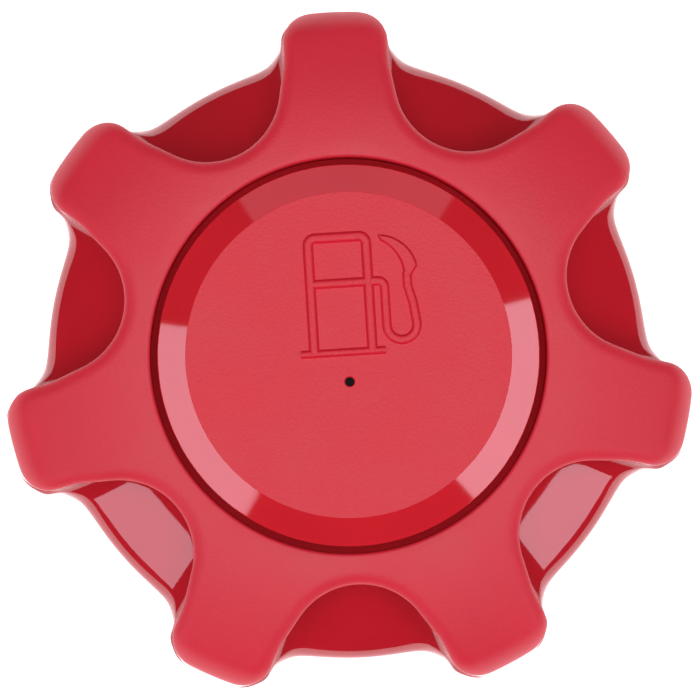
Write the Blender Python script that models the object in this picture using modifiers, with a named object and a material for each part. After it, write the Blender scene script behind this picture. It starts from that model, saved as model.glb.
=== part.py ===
"""Screw-on fuel tank cap with a seven-lobed knob, a click ratchet and a roll-over vent valve.

The knob turns the threaded closure through spring pawls, and clicks past it at full torque.
Air passes the small hole in the knob's centre insert, the filter in the closure's hub, and a
valve that lets pressure out, lets air in, and is shut by a ball when the tank lies upside down.
Z is the cap's axis and points up; the cap stands on Z = 0; one lobe points along +Y.
"""

import math

import bmesh
import bpy
import numpy as np

MM = 0.001

# ---- Driving dimensions ----------------------------------------------------------------------

# Clearances, and how far shapes run past each other where they are joined or cut
TOUCH_GAP = 0.3 * MM          # between pieces that rest on each other
RUNNING_GAP = 0.4 * MM        # between pieces that turn in each other
SEAL_GAP = 0.2 * MM           # round a rubber seal in its groove
OVERLAP = 0.5 * MM
PAST = 1 * MM

# What the cap fits, and how deep it is
NECK_THREAD_RADIUS = 28.3 * MM     # thread crests of the filler neck
CLOSURE_TOP = 14.2 * MM            # outside of the threaded closure's plate

# Threaded closure
CLOSURE_WALL = 2.4 * MM
CLOSURE_PLATE = 2.2 * MM
CLOSURE_EDGE = 0.6 * MM       # chamfers
THREAD_DEPTH = 1.6 * MM
THREAD_ROOT = 1.15 * MM       # half the ridge's width where it meets the wall
THREAD_PITCH = 6.0 * MM
THREAD_TURNS = 1.1
THREAD_RUNOUT = 0.9 * MM      # from the ridge's upper end to the neck gasket
THREAD_LEAD = 1.4 * MM        # from the closure's foot to the ridge's lower end
HUB_WALL = 2.1 * MM
HUB_RISE = 2.9 * MM           # how far the hub stands above the knob's web
SPRING_SEAT = 1.3 * MM        # thickness of the shoulder inside the hub
FILTER_POCKET = 2.5 * MM
FILTER_LEDGE = 1.0 * MM
RETAINER_THICK = 0.8 * MM
RETAINER_HOLES = 6
RETAINER_HOLE_RADIUS = 1.1 * MM
SNAP_GROOVE = 0.7 * MM
SNAP_THICK = 0.6 * MM
SNAP_REACH = 2.2 * MM         # how far the snap ring stands out of the hub
SNAP_OPENING = 3.5 * MM
WASHER_THICK = 0.6 * MM

# Neck gasket
GASKET_THICK = 2.0 * MM
GASKET_WIDTH = 4.7 * MM

# Knob, outside
LOBES = 7
SKIRT_ROOM = 5.3 * MM         # between the closure and the inside of the skirt
SKIRT_DROP = 2.1 * MM         # from the closure's top down to the rim between the lobes
LOBE_REACH = 6.2 * MM         # how far the lobes' tips stand out of the skirt
TIP_DRAFT = 0.7 * MM          # how much the tips draw in by the top
TIP_CORNER = 4.0 * MM         # radius of each lobe's two corners, seen from above
LOBE_SLIMNESS = 0.1478        # half a lobe's width, over the tips' distance from the axis
SIDE_BLEND = 0.6 * MM         # between a scallop's flank and the lobe's parallel side
SMALLEST_ANGLE = math.radians(1)
BASE_BLEND = 8.4 * MM         # how softly the skirt's circle swells into a lobe
NOSE_START = math.radians(15)      # from a scallop's middle: the top edge begins to change to a tip's
NOSE_END = math.radians(22)
DOME_DROP = 3.6 * MM          # the top face falls by this over DOME_SPAN
DOME_SPAN = 17.0 * MM
SCALLOP_BITE = 2.0 * MM       # how far a scallop's top edge comes in past the closure's outside
SCALLOP_ROUNDNESS = 0.3207    # radius of that edge, over its distance from the axis
SCALLOP_ANGLE = math.radians(36)   # half the angle between a scallop's two flanks
EDGE_WIDTH = 1.8 * MM         # rounded top edge at a scallop
EDGE_FALL = 1.1 * MM
NOSE_WIDTH = 3.2 * MM         # rounded top edge at a lobe's tip
NOSE_FALL = 3.4 * MM
WALL_LEAN = 0.05              # how far out a scoop's wall comes, of the way from top edge to base
LEDGE_SHARE = 0.8             # where its floor ends and the rim's rounding begins
LEDGE_RISE = 1.2 * MM         # from the rim up to there
RIM_ROUND = 1.6 * MM          # from the rim down to where that rounding ends
FLOOR_RISE = 4.6 * MM         # a scoop's floor, from there up to its wall
FLOOR_POWER = 1.1             # how hollow the floor is
FOOT_EDGE = 0.4 * MM

# Knob, inside
WALL = 2.3 * MM
SIDE_WALL = 2.5 * MM
RECESS_MARGIN = 3.9 * MM      # from the recess for the centre insert out to a scallop's top edge
RECESS_CHAMFER = 0.4 * MM
RECESS_DEPTH = 4.5 * MM
WEB = 2.0 * MM                # thickness of the recess's floor
CUP_WALL = 2.4 * MM

# Centre insert
INSERT_GROOVE = 0.9 * MM      # round the insert
INSERT_PROUD = 0.8 * MM       # above the top face
INSERT_CHAMFER_WIDTH = 3.6 * MM
INSERT_CHAMFER_FALL = 1.4 * MM
INSERT_PLATE = 2.0 * MM
INSERT_RIM = 2.6 * MM
VENT_RADIUS = 0.6 * MM
VENT_OFFSET = 3.4 * MM        # the vent hole lies this far below the insert's centre
ICON_RISE = 0.35 * MM
ICON_STROKE = 1.05 * MM
ICON_STEP = 0.01 * MM
ICON_TURN = math.radians(1.2)   # the sign leans this much from the lobe at +Y
CLIPS = 3
CLIP_MARGIN = 1.3 * MM        # between the snap ring and the clips
CLIP_WIDTH = 6.0 * MM
CLIP_THICK = 1.5 * MM
CLIP_HOOK = 0.7 * MM
CLIP_FOOT = 1.2 * MM

# Ratchet
RATCHET_ROOM = 6.3 * MM       # between the closure's top and the knob's web
TEETH = 24
PAWLS = 6
TOOTH_INSET = 5.2 * MM        # from a scallop's top edge in to the teeth's crests
TOOTH_DEPTH = 1.4 * MM
KEY_REACH = 4.9 * MM          # how far the ring reaches into the lobes past its teeth
KEY_BLEND = 1.0 * MM
PAWL_ROOM = 4.4 * MM          # from the pawl ring's bore to the teeth's crests
PAWL_RING_WALL = 1.5 * MM
PAWL_THICK = 1.0 * MM
PAWL_TOOTH = 0.5 * MM         # how far a pawl's tooth stands out of its finger
PAWL_SPAN = math.radians(42)
PAWL_ROOT = math.radians(6)
PAWL_KEY = 2.0 * MM

# Screws and seal that hold the valve housing under the closure
SCREWS = 3
SCREW_RADIUS = 1.2 * MM
SCREW_HEAD_RADIUS = 2.4 * MM
SCREW_HEAD_HEIGHT = 1.5 * MM
SCREW_LENGTH = 7.0 * MM
SCREW_TIP = 0.8 * MM
SOCKET_RADIUS = 1.05 * MM
SOCKET_DEPTH = 0.9 * MM
BOSS_RADIUS = 3.0 * MM
BOSS_HEIGHT = 4.2 * MM
BOSS_ROOM = 0.8 * MM          # between the bosses and the pawl ring
HEAD_ROOM = 0.85 * MM         # between the screw heads and the seal's groove
SEAL_WIRE = 0.55 * MM
SEAL_PROUD = 0.1 * MM         # how far the seal stands out of its groove

# Vent valve
FLANGE_ROOM = 1.2 * MM        # between the flange and the neck gasket
FLANGE_THICK = 2.0 * MM
CUP_DEPTH = 5.1 * MM          # from the flange's top to the underside of the cup's floor
CUP_THICK = 1.8 * MM
FLOOR_THICK = 1.7 * MM
SEAT_RISE = 0.7 * MM
SEAT_CREST = 0.2 * MM         # half the width of the seat's crest
SEAT_FOOT = 0.4 * MM
PORT_RADIUS = 1.5 * MM
BALL_RADIUS = 2.0 * MM
BALL_TRAVEL = 1.3 * MM        # from the ball's rest up to the cup's floor
GUIDE_GAP = 0.65 * MM
GUIDE_WALL = 2.0 * MM
GUIDE_DEPTH = 4.1 * MM
CAGE_FLOOR = 1.0 * MM
CAGE_WALL = 1.4 * MM
CAGE_EDGE = 0.5 * MM
CAGE_WINDOWS = 4
CAGE_WINDOW_WIDTH = 4.0 * MM
CAGE_SILL = 0.4 * MM          # from the cage's floor up to its windows
CAGE_HEAD = 1.6 * MM          # above the windows
PLATE_ROOM = 1.6 * MM         # round the relief plate
PLATE_OVERHANG = 1.8 * MM     # of the plate past the seat
PLATE_THICK = 1.0 * MM
PLATE_EDGE = 0.3 * MM
PLATE_SEAL_THICK = 0.6 * MM
PLATE_SEAL_WIDTH = 2.8 * MM
STEM_ROOM = 0.35 * MM         # round the vacuum valve's stem in the plate
BREATHERS = 4
BREATHER_RADIUS = 0.6 * MM
BREATHER_WALL = 0.6 * MM      # between the stem's bore and the breather holes
DISC_MARGIN = 0.65 * MM       # how far the vacuum valve's disc covers past them
RELIEF_SPRING_RADIUS = 4.5 * MM
RELIEF_SPRING_WIRE = 0.3 * MM
RELIEF_SPRING_TURNS = 5.5
SPRING_ROOM = 0.8 * MM        # beside the relief spring, in the hub's bore and on its shoulder
VACUUM_DISC_THICK = 0.6 * MM
VACUUM_STEM_RADIUS = 0.9 * MM
VACUUM_SPRING_RADIUS = 1.8 * MM
VACUUM_SPRING_WIRE = 0.18 * MM
VACUUM_SPRING_TURNS = 4
VACUUM_SPRING_LENGTH = 2.6 * MM
COLLAR_OVERHANG = 0.8 * MM    # of the collar past the middle of the spring's wire
COLLAR_THICK = 0.8 * MM
STEM_PROUD = 0.3 * MM

# Facets
ROUND_STEPS = 48
SMALL_STEPS = 32
FINE_STEPS = 20
KNOB_COLUMNS = 14             # in each lobe's share of the knob's outside
HOLLOW_COLUMNS = 12           # in each lobe's share of its inside

# ---- Places worked out from them: radii, from the neck inwards and outwards -------------------

PERIOD = 2 * math.pi / LOBES
FIRST_LOBE = math.pi / 2
CLOSURE_BORE = NECK_THREAD_RADIUS + TOUCH_GAP
CLOSURE_OUTER = CLOSURE_BORE + CLOSURE_WALL
SKIRT_RADIUS = CLOSURE_OUTER + SKIRT_ROOM + SIDE_WALL
TIP_RADIUS = SKIRT_RADIUS + LOBE_REACH
LOBE_HALF = LOBE_SLIMNESS * TIP_RADIUS
SCALLOP_REACH = CLOSURE_OUTER - SCALLOP_BITE
SCALLOP_ARC = SCALLOP_ROUNDNESS * SCALLOP_REACH
FLOOR_RUN = (LEDGE_SHARE - WALL_LEAN) * (SKIRT_RADIUS - SCALLOP_REACH)
RECESS_RADIUS = SCALLOP_REACH - RECESS_MARGIN
INSERT_RADIUS = RECESS_RADIUS - INSERT_GROOVE
INSERT_FACE_RADIUS = INSERT_RADIUS - INSERT_CHAMFER_WIDTH
TOOTH_CREST = SCALLOP_REACH - TOOTH_INSET
RATCHET_OUTER = TOOTH_CREST + TOOTH_DEPTH + KEY_REACH
PAWL_RING_INNER = TOOTH_CREST - PAWL_ROOM
GASKET_OUTER = CLOSURE_BORE - TOUCH_GAP
GASKET_INNER = GASKET_OUTER - GASKET_WIDTH
FLANGE_RADIUS = GASKET_INNER - FLANGE_ROOM
SCREW_CIRCLE = PAWL_RING_INNER - BOSS_ROOM - BOSS_RADIUS
SEAL_GROOVE_HALF = SEAL_WIRE + SEAL_GAP
SEAL_CIRCLE = SCREW_CIRCLE - SCREW_HEAD_RADIUS - HEAD_ROOM - SEAL_GROOVE_HALF
CUP_BORE = SEAL_CIRCLE - CUP_THICK
PLATE_RADIUS = CUP_BORE - PLATE_ROOM
SEAT_RADIUS = PLATE_RADIUS - PLATE_OVERHANG

# Radii from the axis outwards
STEM_BORE = VACUUM_STEM_RADIUS + STEM_ROOM
BREATHER_CIRCLE = STEM_BORE + BREATHER_WALL + BREATHER_RADIUS
VACUUM_DISC_RADIUS = BREATHER_CIRCLE + BREATHER_RADIUS + DISC_MARGIN
COLLAR_RADIUS = VACUUM_SPRING_RADIUS + COLLAR_OVERHANG
HUB_BORE = RELIEF_SPRING_RADIUS + RELIEF_SPRING_WIRE + SPRING_ROOM
SPRING_SEAT_BORE = RELIEF_SPRING_RADIUS - RELIEF_SPRING_WIRE - SPRING_ROOM
FILTER_RADIUS = HUB_BORE + FILTER_LEDGE
FILTER_BORE = FILTER_RADIUS + TOUCH_GAP
HUB_RADIUS = FILTER_BORE + HUB_WALL
HUB_GAP_RADIUS = HUB_RADIUS + RUNNING_GAP
SNAP_OUTER = HUB_RADIUS + SNAP_REACH
CLIP_RADIUS = SNAP_OUTER + CLIP_MARGIN
GUIDE_BORE = BALL_RADIUS + GUIDE_GAP
GUIDE_OUTER = GUIDE_BORE + GUIDE_WALL
CAGE_BORE = GUIDE_OUTER + TOUCH_GAP
CAGE_OUTER = CAGE_BORE + CAGE_WALL

# Heights, up from the closure's top
WEB_FOOT = CLOSURE_TOP + RATCHET_ROOM
WEB_TOP = WEB_FOOT + WEB
PLATEAU_HEIGHT = WEB_TOP + RECESS_DEPTH
SKIRT_HEIGHT = CLOSURE_TOP - SKIRT_DROP
LEDGE_HEIGHT = SKIRT_HEIGHT + LEDGE_RISE
RIM_FOOT = SKIRT_HEIGHT - RIM_ROUND
INSERT_TOP = PLATEAU_HEIGHT + INSERT_PROUD
INSERT_FOOT = WEB_TOP + TOUCH_GAP
INSERT_CEILING = INSERT_TOP - INSERT_PLATE
RATCHET_FOOT = CLOSURE_TOP + RUNNING_GAP
RATCHET_TOP = WEB_FOOT - TOUCH_GAP
PAWL_FOOT = CLOSURE_TOP + TOUCH_GAP
PAWL_TOP = RATCHET_TOP - TOUCH_GAP
BOSS_TOP = CLOSURE_TOP + BOSS_HEIGHT
WASHER_FOOT = WEB_TOP + TOUCH_GAP
WASHER_TOP = WASHER_FOOT + WASHER_THICK
SNAP_FOOT = WASHER_TOP + TOUCH_GAP
SNAP_TOP = SNAP_FOOT + SNAP_THICK
HUB_TOP = WEB_TOP + HUB_RISE
FILTER_FLOOR = HUB_TOP - FILTER_POCKET
SPRING_CEILING = FILTER_FLOOR - SPRING_SEAT

# Heights, down from the closure's top
CLOSURE_CEILING = CLOSURE_TOP - CLOSURE_PLATE
FLANGE_TOP = CLOSURE_CEILING - TOUCH_GAP
FLANGE_FOOT = FLANGE_TOP - FLANGE_THICK
GASKET_FOOT = FLANGE_TOP - GASKET_THICK
THREAD_END = GASKET_FOOT - THREAD_RUNOUT
THREAD_START = THREAD_END - THREAD_PITCH * THREAD_TURNS
CLOSURE_FOOT = THREAD_START - THREAD_LEAD
FLOOR_HEIGHT = FLANGE_TOP - CUP_DEPTH
FLOOR_TOP = FLOOR_HEIGHT + FLOOR_THICK
SEAT_TOP = FLOOR_TOP + SEAT_RISE
PLATE_SEAL_FOOT = SEAT_TOP + SEAL_GAP
PLATE_SEAL_TOP = PLATE_SEAL_FOOT + PLATE_SEAL_THICK
PLATE_FOOT = PLATE_SEAL_TOP + SEAL_GAP
PLATE_TOP = PLATE_FOOT + PLATE_THICK
VACUUM_DISC_TOP = PLATE_FOOT - SEAL_GAP
GUIDE_FOOT = FLOOR_HEIGHT - GUIDE_DEPTH
BALL_HEIGHT = FLOOR_HEIGHT - BALL_TRAVEL - BALL_RADIUS
CAGE_CEILING = BALL_HEIGHT - BALL_RADIUS - TOUCH_GAP      # the top of the cage's floor
CAGE_FOOT = CAGE_CEILING - CAGE_FLOOR

PARTS = "fuel_tank_cap"
CUTTERS = "cutters"


# ---- Scene, materials and small tools --------------------------------------------------------

def clear_scene():
    for thing in list(bpy.data.objects):
        bpy.data.objects.remove(thing, do_unlink=True)
    for name in (PARTS, CUTTERS):
        collection = bpy.data.collections.new(name)
        bpy.context.scene.collection.children.link(collection)


def material(name, colour, roughness, metallic=0.0):
    made = bpy.data.materials.new(name)
    made.use_nodes = True
    made.diffuse_color = (*colour, 1.0)
    shader = made.node_tree.nodes["Principled BSDF"]
    shader.inputs["Base Color"].default_value = (*colour, 1.0)
    shader.inputs["Roughness"].default_value = roughness
    shader.inputs["Metallic"].default_value = metallic
    return made


def add(name, mesh, finish, body=None):
    """A visible part, parented to its body's empty where it moves."""
    part = bpy.data.objects.new(name, mesh)
    bpy.data.collections[PARTS].objects.link(part)
    mesh.materials.append(finish)
    mesh.shade_smooth()
    mesh.set_sharp_from_angle(angle=math.radians(35))
    if body is not None:
        place_under(part, body)
    return part


def place_under(part, body):
    part.parent = body
    part.matrix_parent_inverse = body.matrix_world.inverted()


def joint_empty(name, height, parent=None):
    """An empty on the cap's axis, which carries what moves on one joint."""
    empty = bpy.data.objects.new(name, None)
    empty.empty_display_size = 5 * MM
    empty.location = (0, 0, height)
    bpy.data.collections[PARTS].objects.link(empty)
    bpy.context.view_layer.update()
    if parent is not None:
        place_under(empty, parent)
        bpy.context.view_layer.update()
    return empty


def helper(name, mesh):
    """A cutter, or a shape to be joined on: not a part by itself."""
    shape = bpy.data.objects.new(name, mesh)
    bpy.data.collections[CUTTERS].objects.link(shape)
    shape.hide_render = True
    shape.display_type = "WIRE"
    return shape


def boolean(part, other, operation):
    step = part.modifiers.new(other.name, "BOOLEAN")
    step.operation = operation
    step.object = other
    step.solver = "EXACT"


def cut(part, other):
    boolean(part, other, "DIFFERENCE")


def join(part, other):
    boolean(part, other, "UNION")


def turned(part, steps=ROUND_STEPS):
    """Turns the part's profile, drawn at +X, round the Z axis."""
    step = part.modifiers.new("turn", "SCREW")
    step.steps = steps
    step.render_steps = steps
    step.use_merge_vertices = True
    step.merge_threshold = 0.005 * MM
    step.use_smooth_shade = True


def profile_mesh(name, points, closed=True):
    """A profile in the XZ plane, which runs down its outer side."""
    mesh = bpy.data.meshes.new(name)
    rows = [(radius, 0, height) for radius, height in points]
    edges = [(i, i + 1) for i in range(len(rows) - 1)]
    if closed:
        edges.append((len(rows) - 1, 0))
    mesh.from_pydata(rows, edges, [])
    return mesh


def prism_mesh(name, outline, low, high):
    """An upright prism on a flat outline that runs counter-clockwise."""
    shape = bmesh.new()
    foot = [shape.verts.new((x, y, low)) for x, y in outline]
    face = shape.faces.new(foot[::-1])
    made = bmesh.ops.extrude_face_region(shape, geom=[face])
    raised = [item for item in made["geom"] if isinstance(item, bmesh.types.BMVert)]
    bmesh.ops.translate(shape, verts=raised, vec=(0, 0, high - low))
    bmesh.ops.recalc_face_normals(shape, faces=shape.faces)
    return finished(shape, name)


def finished(shape, name):
    mesh = bpy.data.meshes.new(name)
    shape.to_mesh(mesh)
    shape.free()
    return mesh


def cylinder_mesh(name, radius, low, high, centre=(0, 0), steps=SMALL_STEPS):
    shape = bmesh.new()
    made = bmesh.ops.create_cone(
        shape, cap_ends=True, segments=steps, radius1=radius, radius2=radius, depth=high - low
    )
    offset = (centre[0], centre[1], (low + high) / 2)
    bmesh.ops.translate(shape, verts=made["verts"], vec=offset)
    return finished(shape, name)


def block_mesh(name, size, centre, turn=0.0):
    """A box of the given size, moved to centre and then turned about the cap's axis."""
    shape = bmesh.new()
    made = bmesh.ops.create_cube(shape, size=1.0)
    bmesh.ops.scale(shape, verts=made["verts"], vec=size)
    bmesh.ops.translate(shape, verts=made["verts"], vec=centre)
    spin(shape, made["verts"], turn)
    return finished(shape, name)


def spin(shape, verts, turn):
    flat = np.array([[math.cos(turn), -math.sin(turn)], [math.sin(turn), math.cos(turn)]])
    for vert in verts:
        vert.co.x, vert.co.y = flat @ np.array([vert.co.x, vert.co.y])


def polar(radius, angle):
    return (radius * math.cos(angle), radius * math.sin(angle))


def around(count, first=FIRST_LOBE):
    """Evenly spaced angles about the axis."""
    return [first + 2 * math.pi * i / count for i in range(count)]


def loft_mesh(name, rings):
    """A closed body through rings of points, from the top ring down, with both ends capped."""
    count = len(rings[0])
    points = [tuple(point) for ring in rings for point in ring]
    faces = [tuple(range(count))]
    for level in range(len(rings) - 1):
        for i in range(count):
            upper = level * count + i
            beside = level * count + (i + 1) % count
            faces.append((upper, upper + count, beside + count, beside))
    last = (len(rings) - 1) * count
    faces.append(tuple(last + i for i in reversed(range(count))))
    mesh = bpy.data.meshes.new(name)
    mesh.from_pydata(points, [], faces)
    return mesh


# ---- The knob's outlines ---------------------------------------------------------------------

def smoothstep(value):
    value = np.clip(value, 0, 1)
    return value * value * (3 - 2 * value)


def smooth_min(a, b, blend):
    share = np.clip(0.5 + 0.5 * (b - a) / blend, 0, 1)
    return b + (a - b) * share - blend * share * (1 - share)


def smooth_max(a, b, blend):
    return -smooth_min(-a, -b, blend)


def from_scallop(angles):
    """The angle from the middle of the nearest scallop."""
    turned_by = angles - FIRST_LOBE - PERIOD / 2
    return np.abs((turned_by + PERIOD / 2) % PERIOD - PERIOD / 2)


def top_radius(angles):
    """Where the top face's edge lies: a scallop's arc, its flanks, and the lobe's round corners."""
    off = from_scallop(angles)
    across = PERIOD / 2 - off
    centre = SCALLOP_REACH + SCALLOP_ARC
    chord = np.clip(SCALLOP_ARC**2 - (centre * np.sin(off)) ** 2, 0, None)
    on_arc = centre * np.cos(off) - np.sqrt(chord)
    offset = centre * math.sin(SCALLOP_ANGLE) - SCALLOP_ARC
    on_flank = offset / np.sin(SCALLOP_ANGLE - off)
    join_angle = math.atan2(
        SCALLOP_ARC * math.cos(SCALLOP_ANGLE), centre - SCALLOP_ARC * math.sin(SCALLOP_ANGLE)
    )
    on_side = LOBE_HALF / np.sin(np.clip(across, SMALLEST_ANGLE, None))
    edge = smooth_max(np.where(off < join_angle, on_arc, on_flank), on_side, SIDE_BLEND)
    tip = TIP_RADIUS - TIP_DRAFT
    corner_turn = math.asin((LOBE_HALF - TIP_CORNER) / (tip - TIP_CORNER))
    past = np.clip(across - corner_turn, 0, None)
    sideways = (tip - TIP_CORNER) * np.sin(past)
    half_chord = np.sqrt(np.clip(TIP_CORNER**2 - sideways**2, 0, None))
    on_corner = (tip - TIP_CORNER) * np.cos(past) + half_chord
    corner_end = math.atan2(LOBE_HALF, (tip - TIP_CORNER) * math.cos(corner_turn))
    return np.where(across < corner_end, np.minimum(on_corner, edge), edge)


def base_radius(angles):
    """The outline at the base: the skirt's circle, which swells into each lobe."""
    blend = BASE_BLEND * (1 - nose_share(angles)) + SIDE_BLEND
    return smooth_max(top_radius(angles) + TIP_DRAFT, SKIRT_RADIUS, blend)


def even_angles(columns):
    """Angles that divide the top face's edge into equal lengths, in every lobe alike."""
    fine = np.linspace(0, PERIOD, 721) + FIRST_LOBE
    radius = top_radius(fine)
    x, y = radius * np.cos(fine), radius * np.sin(fine)
    length = np.concatenate([[0], np.cumsum(np.hypot(np.diff(x), np.diff(y)))])
    wanted = np.linspace(0, length[-1], columns, endpoint=False)
    one = np.interp(wanted, length, fine)
    return np.concatenate([one + PERIOD * i for i in range(LOBES)])


def flat_points(radius, angles):
    return np.stack([radius * np.cos(angles), radius * np.sin(angles)], axis=1)


def outward(points):
    """Unit normals of a closed outline that runs counter-clockwise."""
    along = np.roll(points, -1, axis=0) - np.roll(points, 1, axis=0)
    normal = np.stack([along[:, 1], -along[:, 0]], axis=1)
    return normal / np.linalg.norm(normal, axis=1, keepdims=True)


def dome(points):
    """Height of the top face over points of the plan."""
    out = np.clip(np.linalg.norm(points, axis=1) - RECESS_RADIUS, 0, None)
    return PLATEAU_HEIGHT - DOME_DROP * (out / DOME_SPAN) ** 2


def raised(points, heights):
    heights = np.broadcast_to(heights, (len(points),))
    return np.concatenate([points, heights[:, None]], axis=1)


def nose_share(angles):
    """0 along a scallop and 1 round a lobe's tip."""
    return smoothstep((from_scallop(angles) - NOSE_START) / (NOSE_END - NOSE_START))


def knob_levels(angles):
    """What the outside and the inside both follow: the top edge, its height, and the base."""
    top = flat_points(top_radius(angles), angles)
    base = flat_points(base_radius(angles), angles)
    share = nose_share(angles)
    width = EDGE_WIDTH + (NOSE_WIDTH - EDGE_WIDTH) * share
    fall = EDGE_FALL + (NOSE_FALL - EDGE_FALL) * share
    return top, base, width, fall


def scoop_share(height, edge_height, run, nose):
    """How far the outside lies from the top edge to the base, at a height above the ledge.

    Between two lobes a steep wall falls to a hollow floor that slopes down to the ledge; the
    lobes' tips have an even draft.
    """
    fallen = (edge_height - height) / (edge_height - LEDGE_HEIGHT)
    wall = WALL_LEAN * (edge_height - height) / (edge_height - floor_top(run))
    risen = np.clip((height - LEDGE_HEIGHT) / FLOOR_RISE, 0, 1)
    inward = FLOOR_RUN * (1 - (1 - risen) ** FLOOR_POWER)
    floor = np.where(risen < 1, LEDGE_SHARE - inward / run, 0)
    between = np.maximum(wall, floor)
    return between + (LEDGE_SHARE * fallen - between) * nose


def floor_top(run):
    """The height at which a scoop's floor meets its wall."""
    inward = np.clip((LEDGE_SHARE - WALL_LEAN) * run / FLOOR_RUN, 0, 1)
    return LEDGE_HEIGHT + FLOOR_RISE * (1 - (1 - inward) ** (1 / FLOOR_POWER))


def knob_outside():
    angles = even_angles(KNOB_COLUMNS)
    top, base, width, fall = knob_levels(angles)
    normal = outward(top)
    brow = top - normal * width[:, None]
    centre = flat_points(RECESS_RADIUS - CUP_WALL, angles)
    rings = []
    for share in (0, 0.4, 0.7, 1):
        flat = centre + (brow - centre) * share
        rings.append(raised(flat, dome(flat)))
    for turn in (30, 60, 85):
        lean = math.radians(turn)
        flat = top - normal * (width * (1 - math.sin(lean)))[:, None]
        rings.append(raised(flat, dome(flat) - fall * (1 - math.cos(lean))))
    edge_height = rings[-1][:, 2]
    run = np.linalg.norm(base - top, axis=1)
    nose = nose_share(angles)
    for share in (1, 0.85, 0.6, 0.35, 0.15, 0):
        height = LEDGE_HEIGHT + (floor_top(run) - LEDGE_HEIGHT) * share
        out = scoop_share(height, edge_height, run, nose)
        rings.append(raised(top + (base - top) * out[:, None], height))
    for share in (0.35, 0.7, 1):
        left = 1 - share
        out = 1 - (1 - LEDGE_SHARE) * left**2
        height = LEDGE_HEIGHT * left**2 + 2 * SKIRT_HEIGHT * share * left + RIM_FOOT * share**2
        rings.append(raised(top + (base - top) * out, height))
    rings.append(raised(base, FOOT_EDGE))
    rings.append(raised(base - outward(base) * FOOT_EDGE, 0))
    return rings


def inner_ring(angles, height):
    """The outline of the knob's inside at one height."""
    top, base, _, fall = knob_levels(angles)
    edge_height = dome(top) - fall
    height = np.minimum(height, edge_height)
    run = np.linalg.norm(base - top, axis=1)
    share = scoop_share(np.maximum(height, LEDGE_HEIGHT), edge_height, run, nose_share(angles))
    share = np.where(height < SKIRT_HEIGHT, 1, share)
    flat = top + (base - top) * share[:, None]
    return flat - outward(flat) * SIDE_WALL


def knob_inside():
    angles = even_angles(HOLLOW_COLUMNS)
    centre = flat_points(CLIP_RADIUS, angles)
    upper = inner_ring(angles, PLATEAU_HEIGHT)
    rings = [raised(centre, PLATEAU_HEIGHT - WALL), raised(upper, dome(upper) - WALL)]
    rings.append(raised(inner_ring(angles, WEB_FOOT), WEB_FOOT))
    for share in (1, 0.7, 0.4, 0.15, 0):
        height = LEDGE_HEIGHT + FLOOR_RISE * share
        rings.append(raised(inner_ring(angles, height), height))
    skirt = inner_ring(angles, 0)
    rings.append(raised(skirt, RIM_FOOT))
    rings.append(raised(skirt, -PAST))
    return rings


# ---- Knob ------------------------------------------------------------------------------------

def make_knob_shell(finish, body):
    shell = add("knob_shell", loft_mesh("knob_shell", knob_outside()), finish, body)
    cut(shell, helper("knob_hollow", loft_mesh("knob_hollow", knob_inside())))
    cup_top = PLATEAU_HEIGHT - WALL / 2
    cup = [
        (HUB_GAP_RADIUS, cup_top),
        (RECESS_RADIUS + CUP_WALL, cup_top),
        (RECESS_RADIUS + CUP_WALL, WEB_FOOT),
        (HUB_GAP_RADIUS, WEB_FOOT),
    ]
    floor = helper("knob_cup", profile_mesh("knob_cup", cup))
    turned(floor)
    join(shell, floor)
    recess = [
        (0, PLATEAU_HEIGHT + PAST),
        (RECESS_RADIUS + 2 * RECESS_CHAMFER, PLATEAU_HEIGHT + RECESS_CHAMFER),
        (RECESS_RADIUS, PLATEAU_HEIGHT - RECESS_CHAMFER),
        (RECESS_RADIUS, WEB_TOP),
        (0, WEB_TOP),
    ]
    pocket = helper("insert_recess", profile_mesh("insert_recess", recess, closed=False))
    turned(pocket)
    cut(shell, pocket)
    for i, turn in enumerate(around(CLIPS)):
        size = (CLIP_THICK + CLIP_HOOK + 2 * TOUCH_GAP, CLIP_WIDTH + 2 * TOUCH_GAP, 3 * WEB)
        reach = CLIP_RADIUS - TOUCH_GAP + size[0] / 2
        name = f"clip_slot_{i + 1}"
        cut(shell, helper(name, block_mesh(name, size, (reach, 0, WEB_TOP - WEB / 2), turn)))
    return shell


def make_top_insert(finish, body):
    under = INSERT_RADIUS - INSERT_RIM
    rows = [
        (0, INSERT_TOP),
        (INSERT_FACE_RADIUS, INSERT_TOP),
        (INSERT_RADIUS, INSERT_TOP - INSERT_CHAMFER_FALL),
        (INSERT_RADIUS, INSERT_FOOT),
        (under, INSERT_FOOT),
        (under, INSERT_CEILING),
        (0, INSERT_CEILING),
    ]
    insert = add("top_insert", profile_mesh("top_insert", rows, closed=False), finish, body)
    turned(insert)
    for i, turn in enumerate(around(CLIPS)):
        name = f"clip_{i + 1}"
        join(insert, helper(name, clip_mesh(name, turn)))
    for i, (name, outline) in enumerate(icon_outlines()):
        # Each stroke is a hair lower than the last, so no two of them share a plane.
        low = INSERT_TOP - OVERLAP - i * ICON_STEP
        high = INSERT_TOP + ICON_RISE - i * ICON_STEP
        join(insert, helper(name, prism_mesh(name, outline, low, high)))
    hole = cylinder_mesh(
        "vent_hole", VENT_RADIUS, INSERT_CEILING - PAST, INSERT_TOP + PAST, (0, -VENT_OFFSET), 16
    )
    cut(insert, helper("vent_hole", hole))
    return insert


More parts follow.
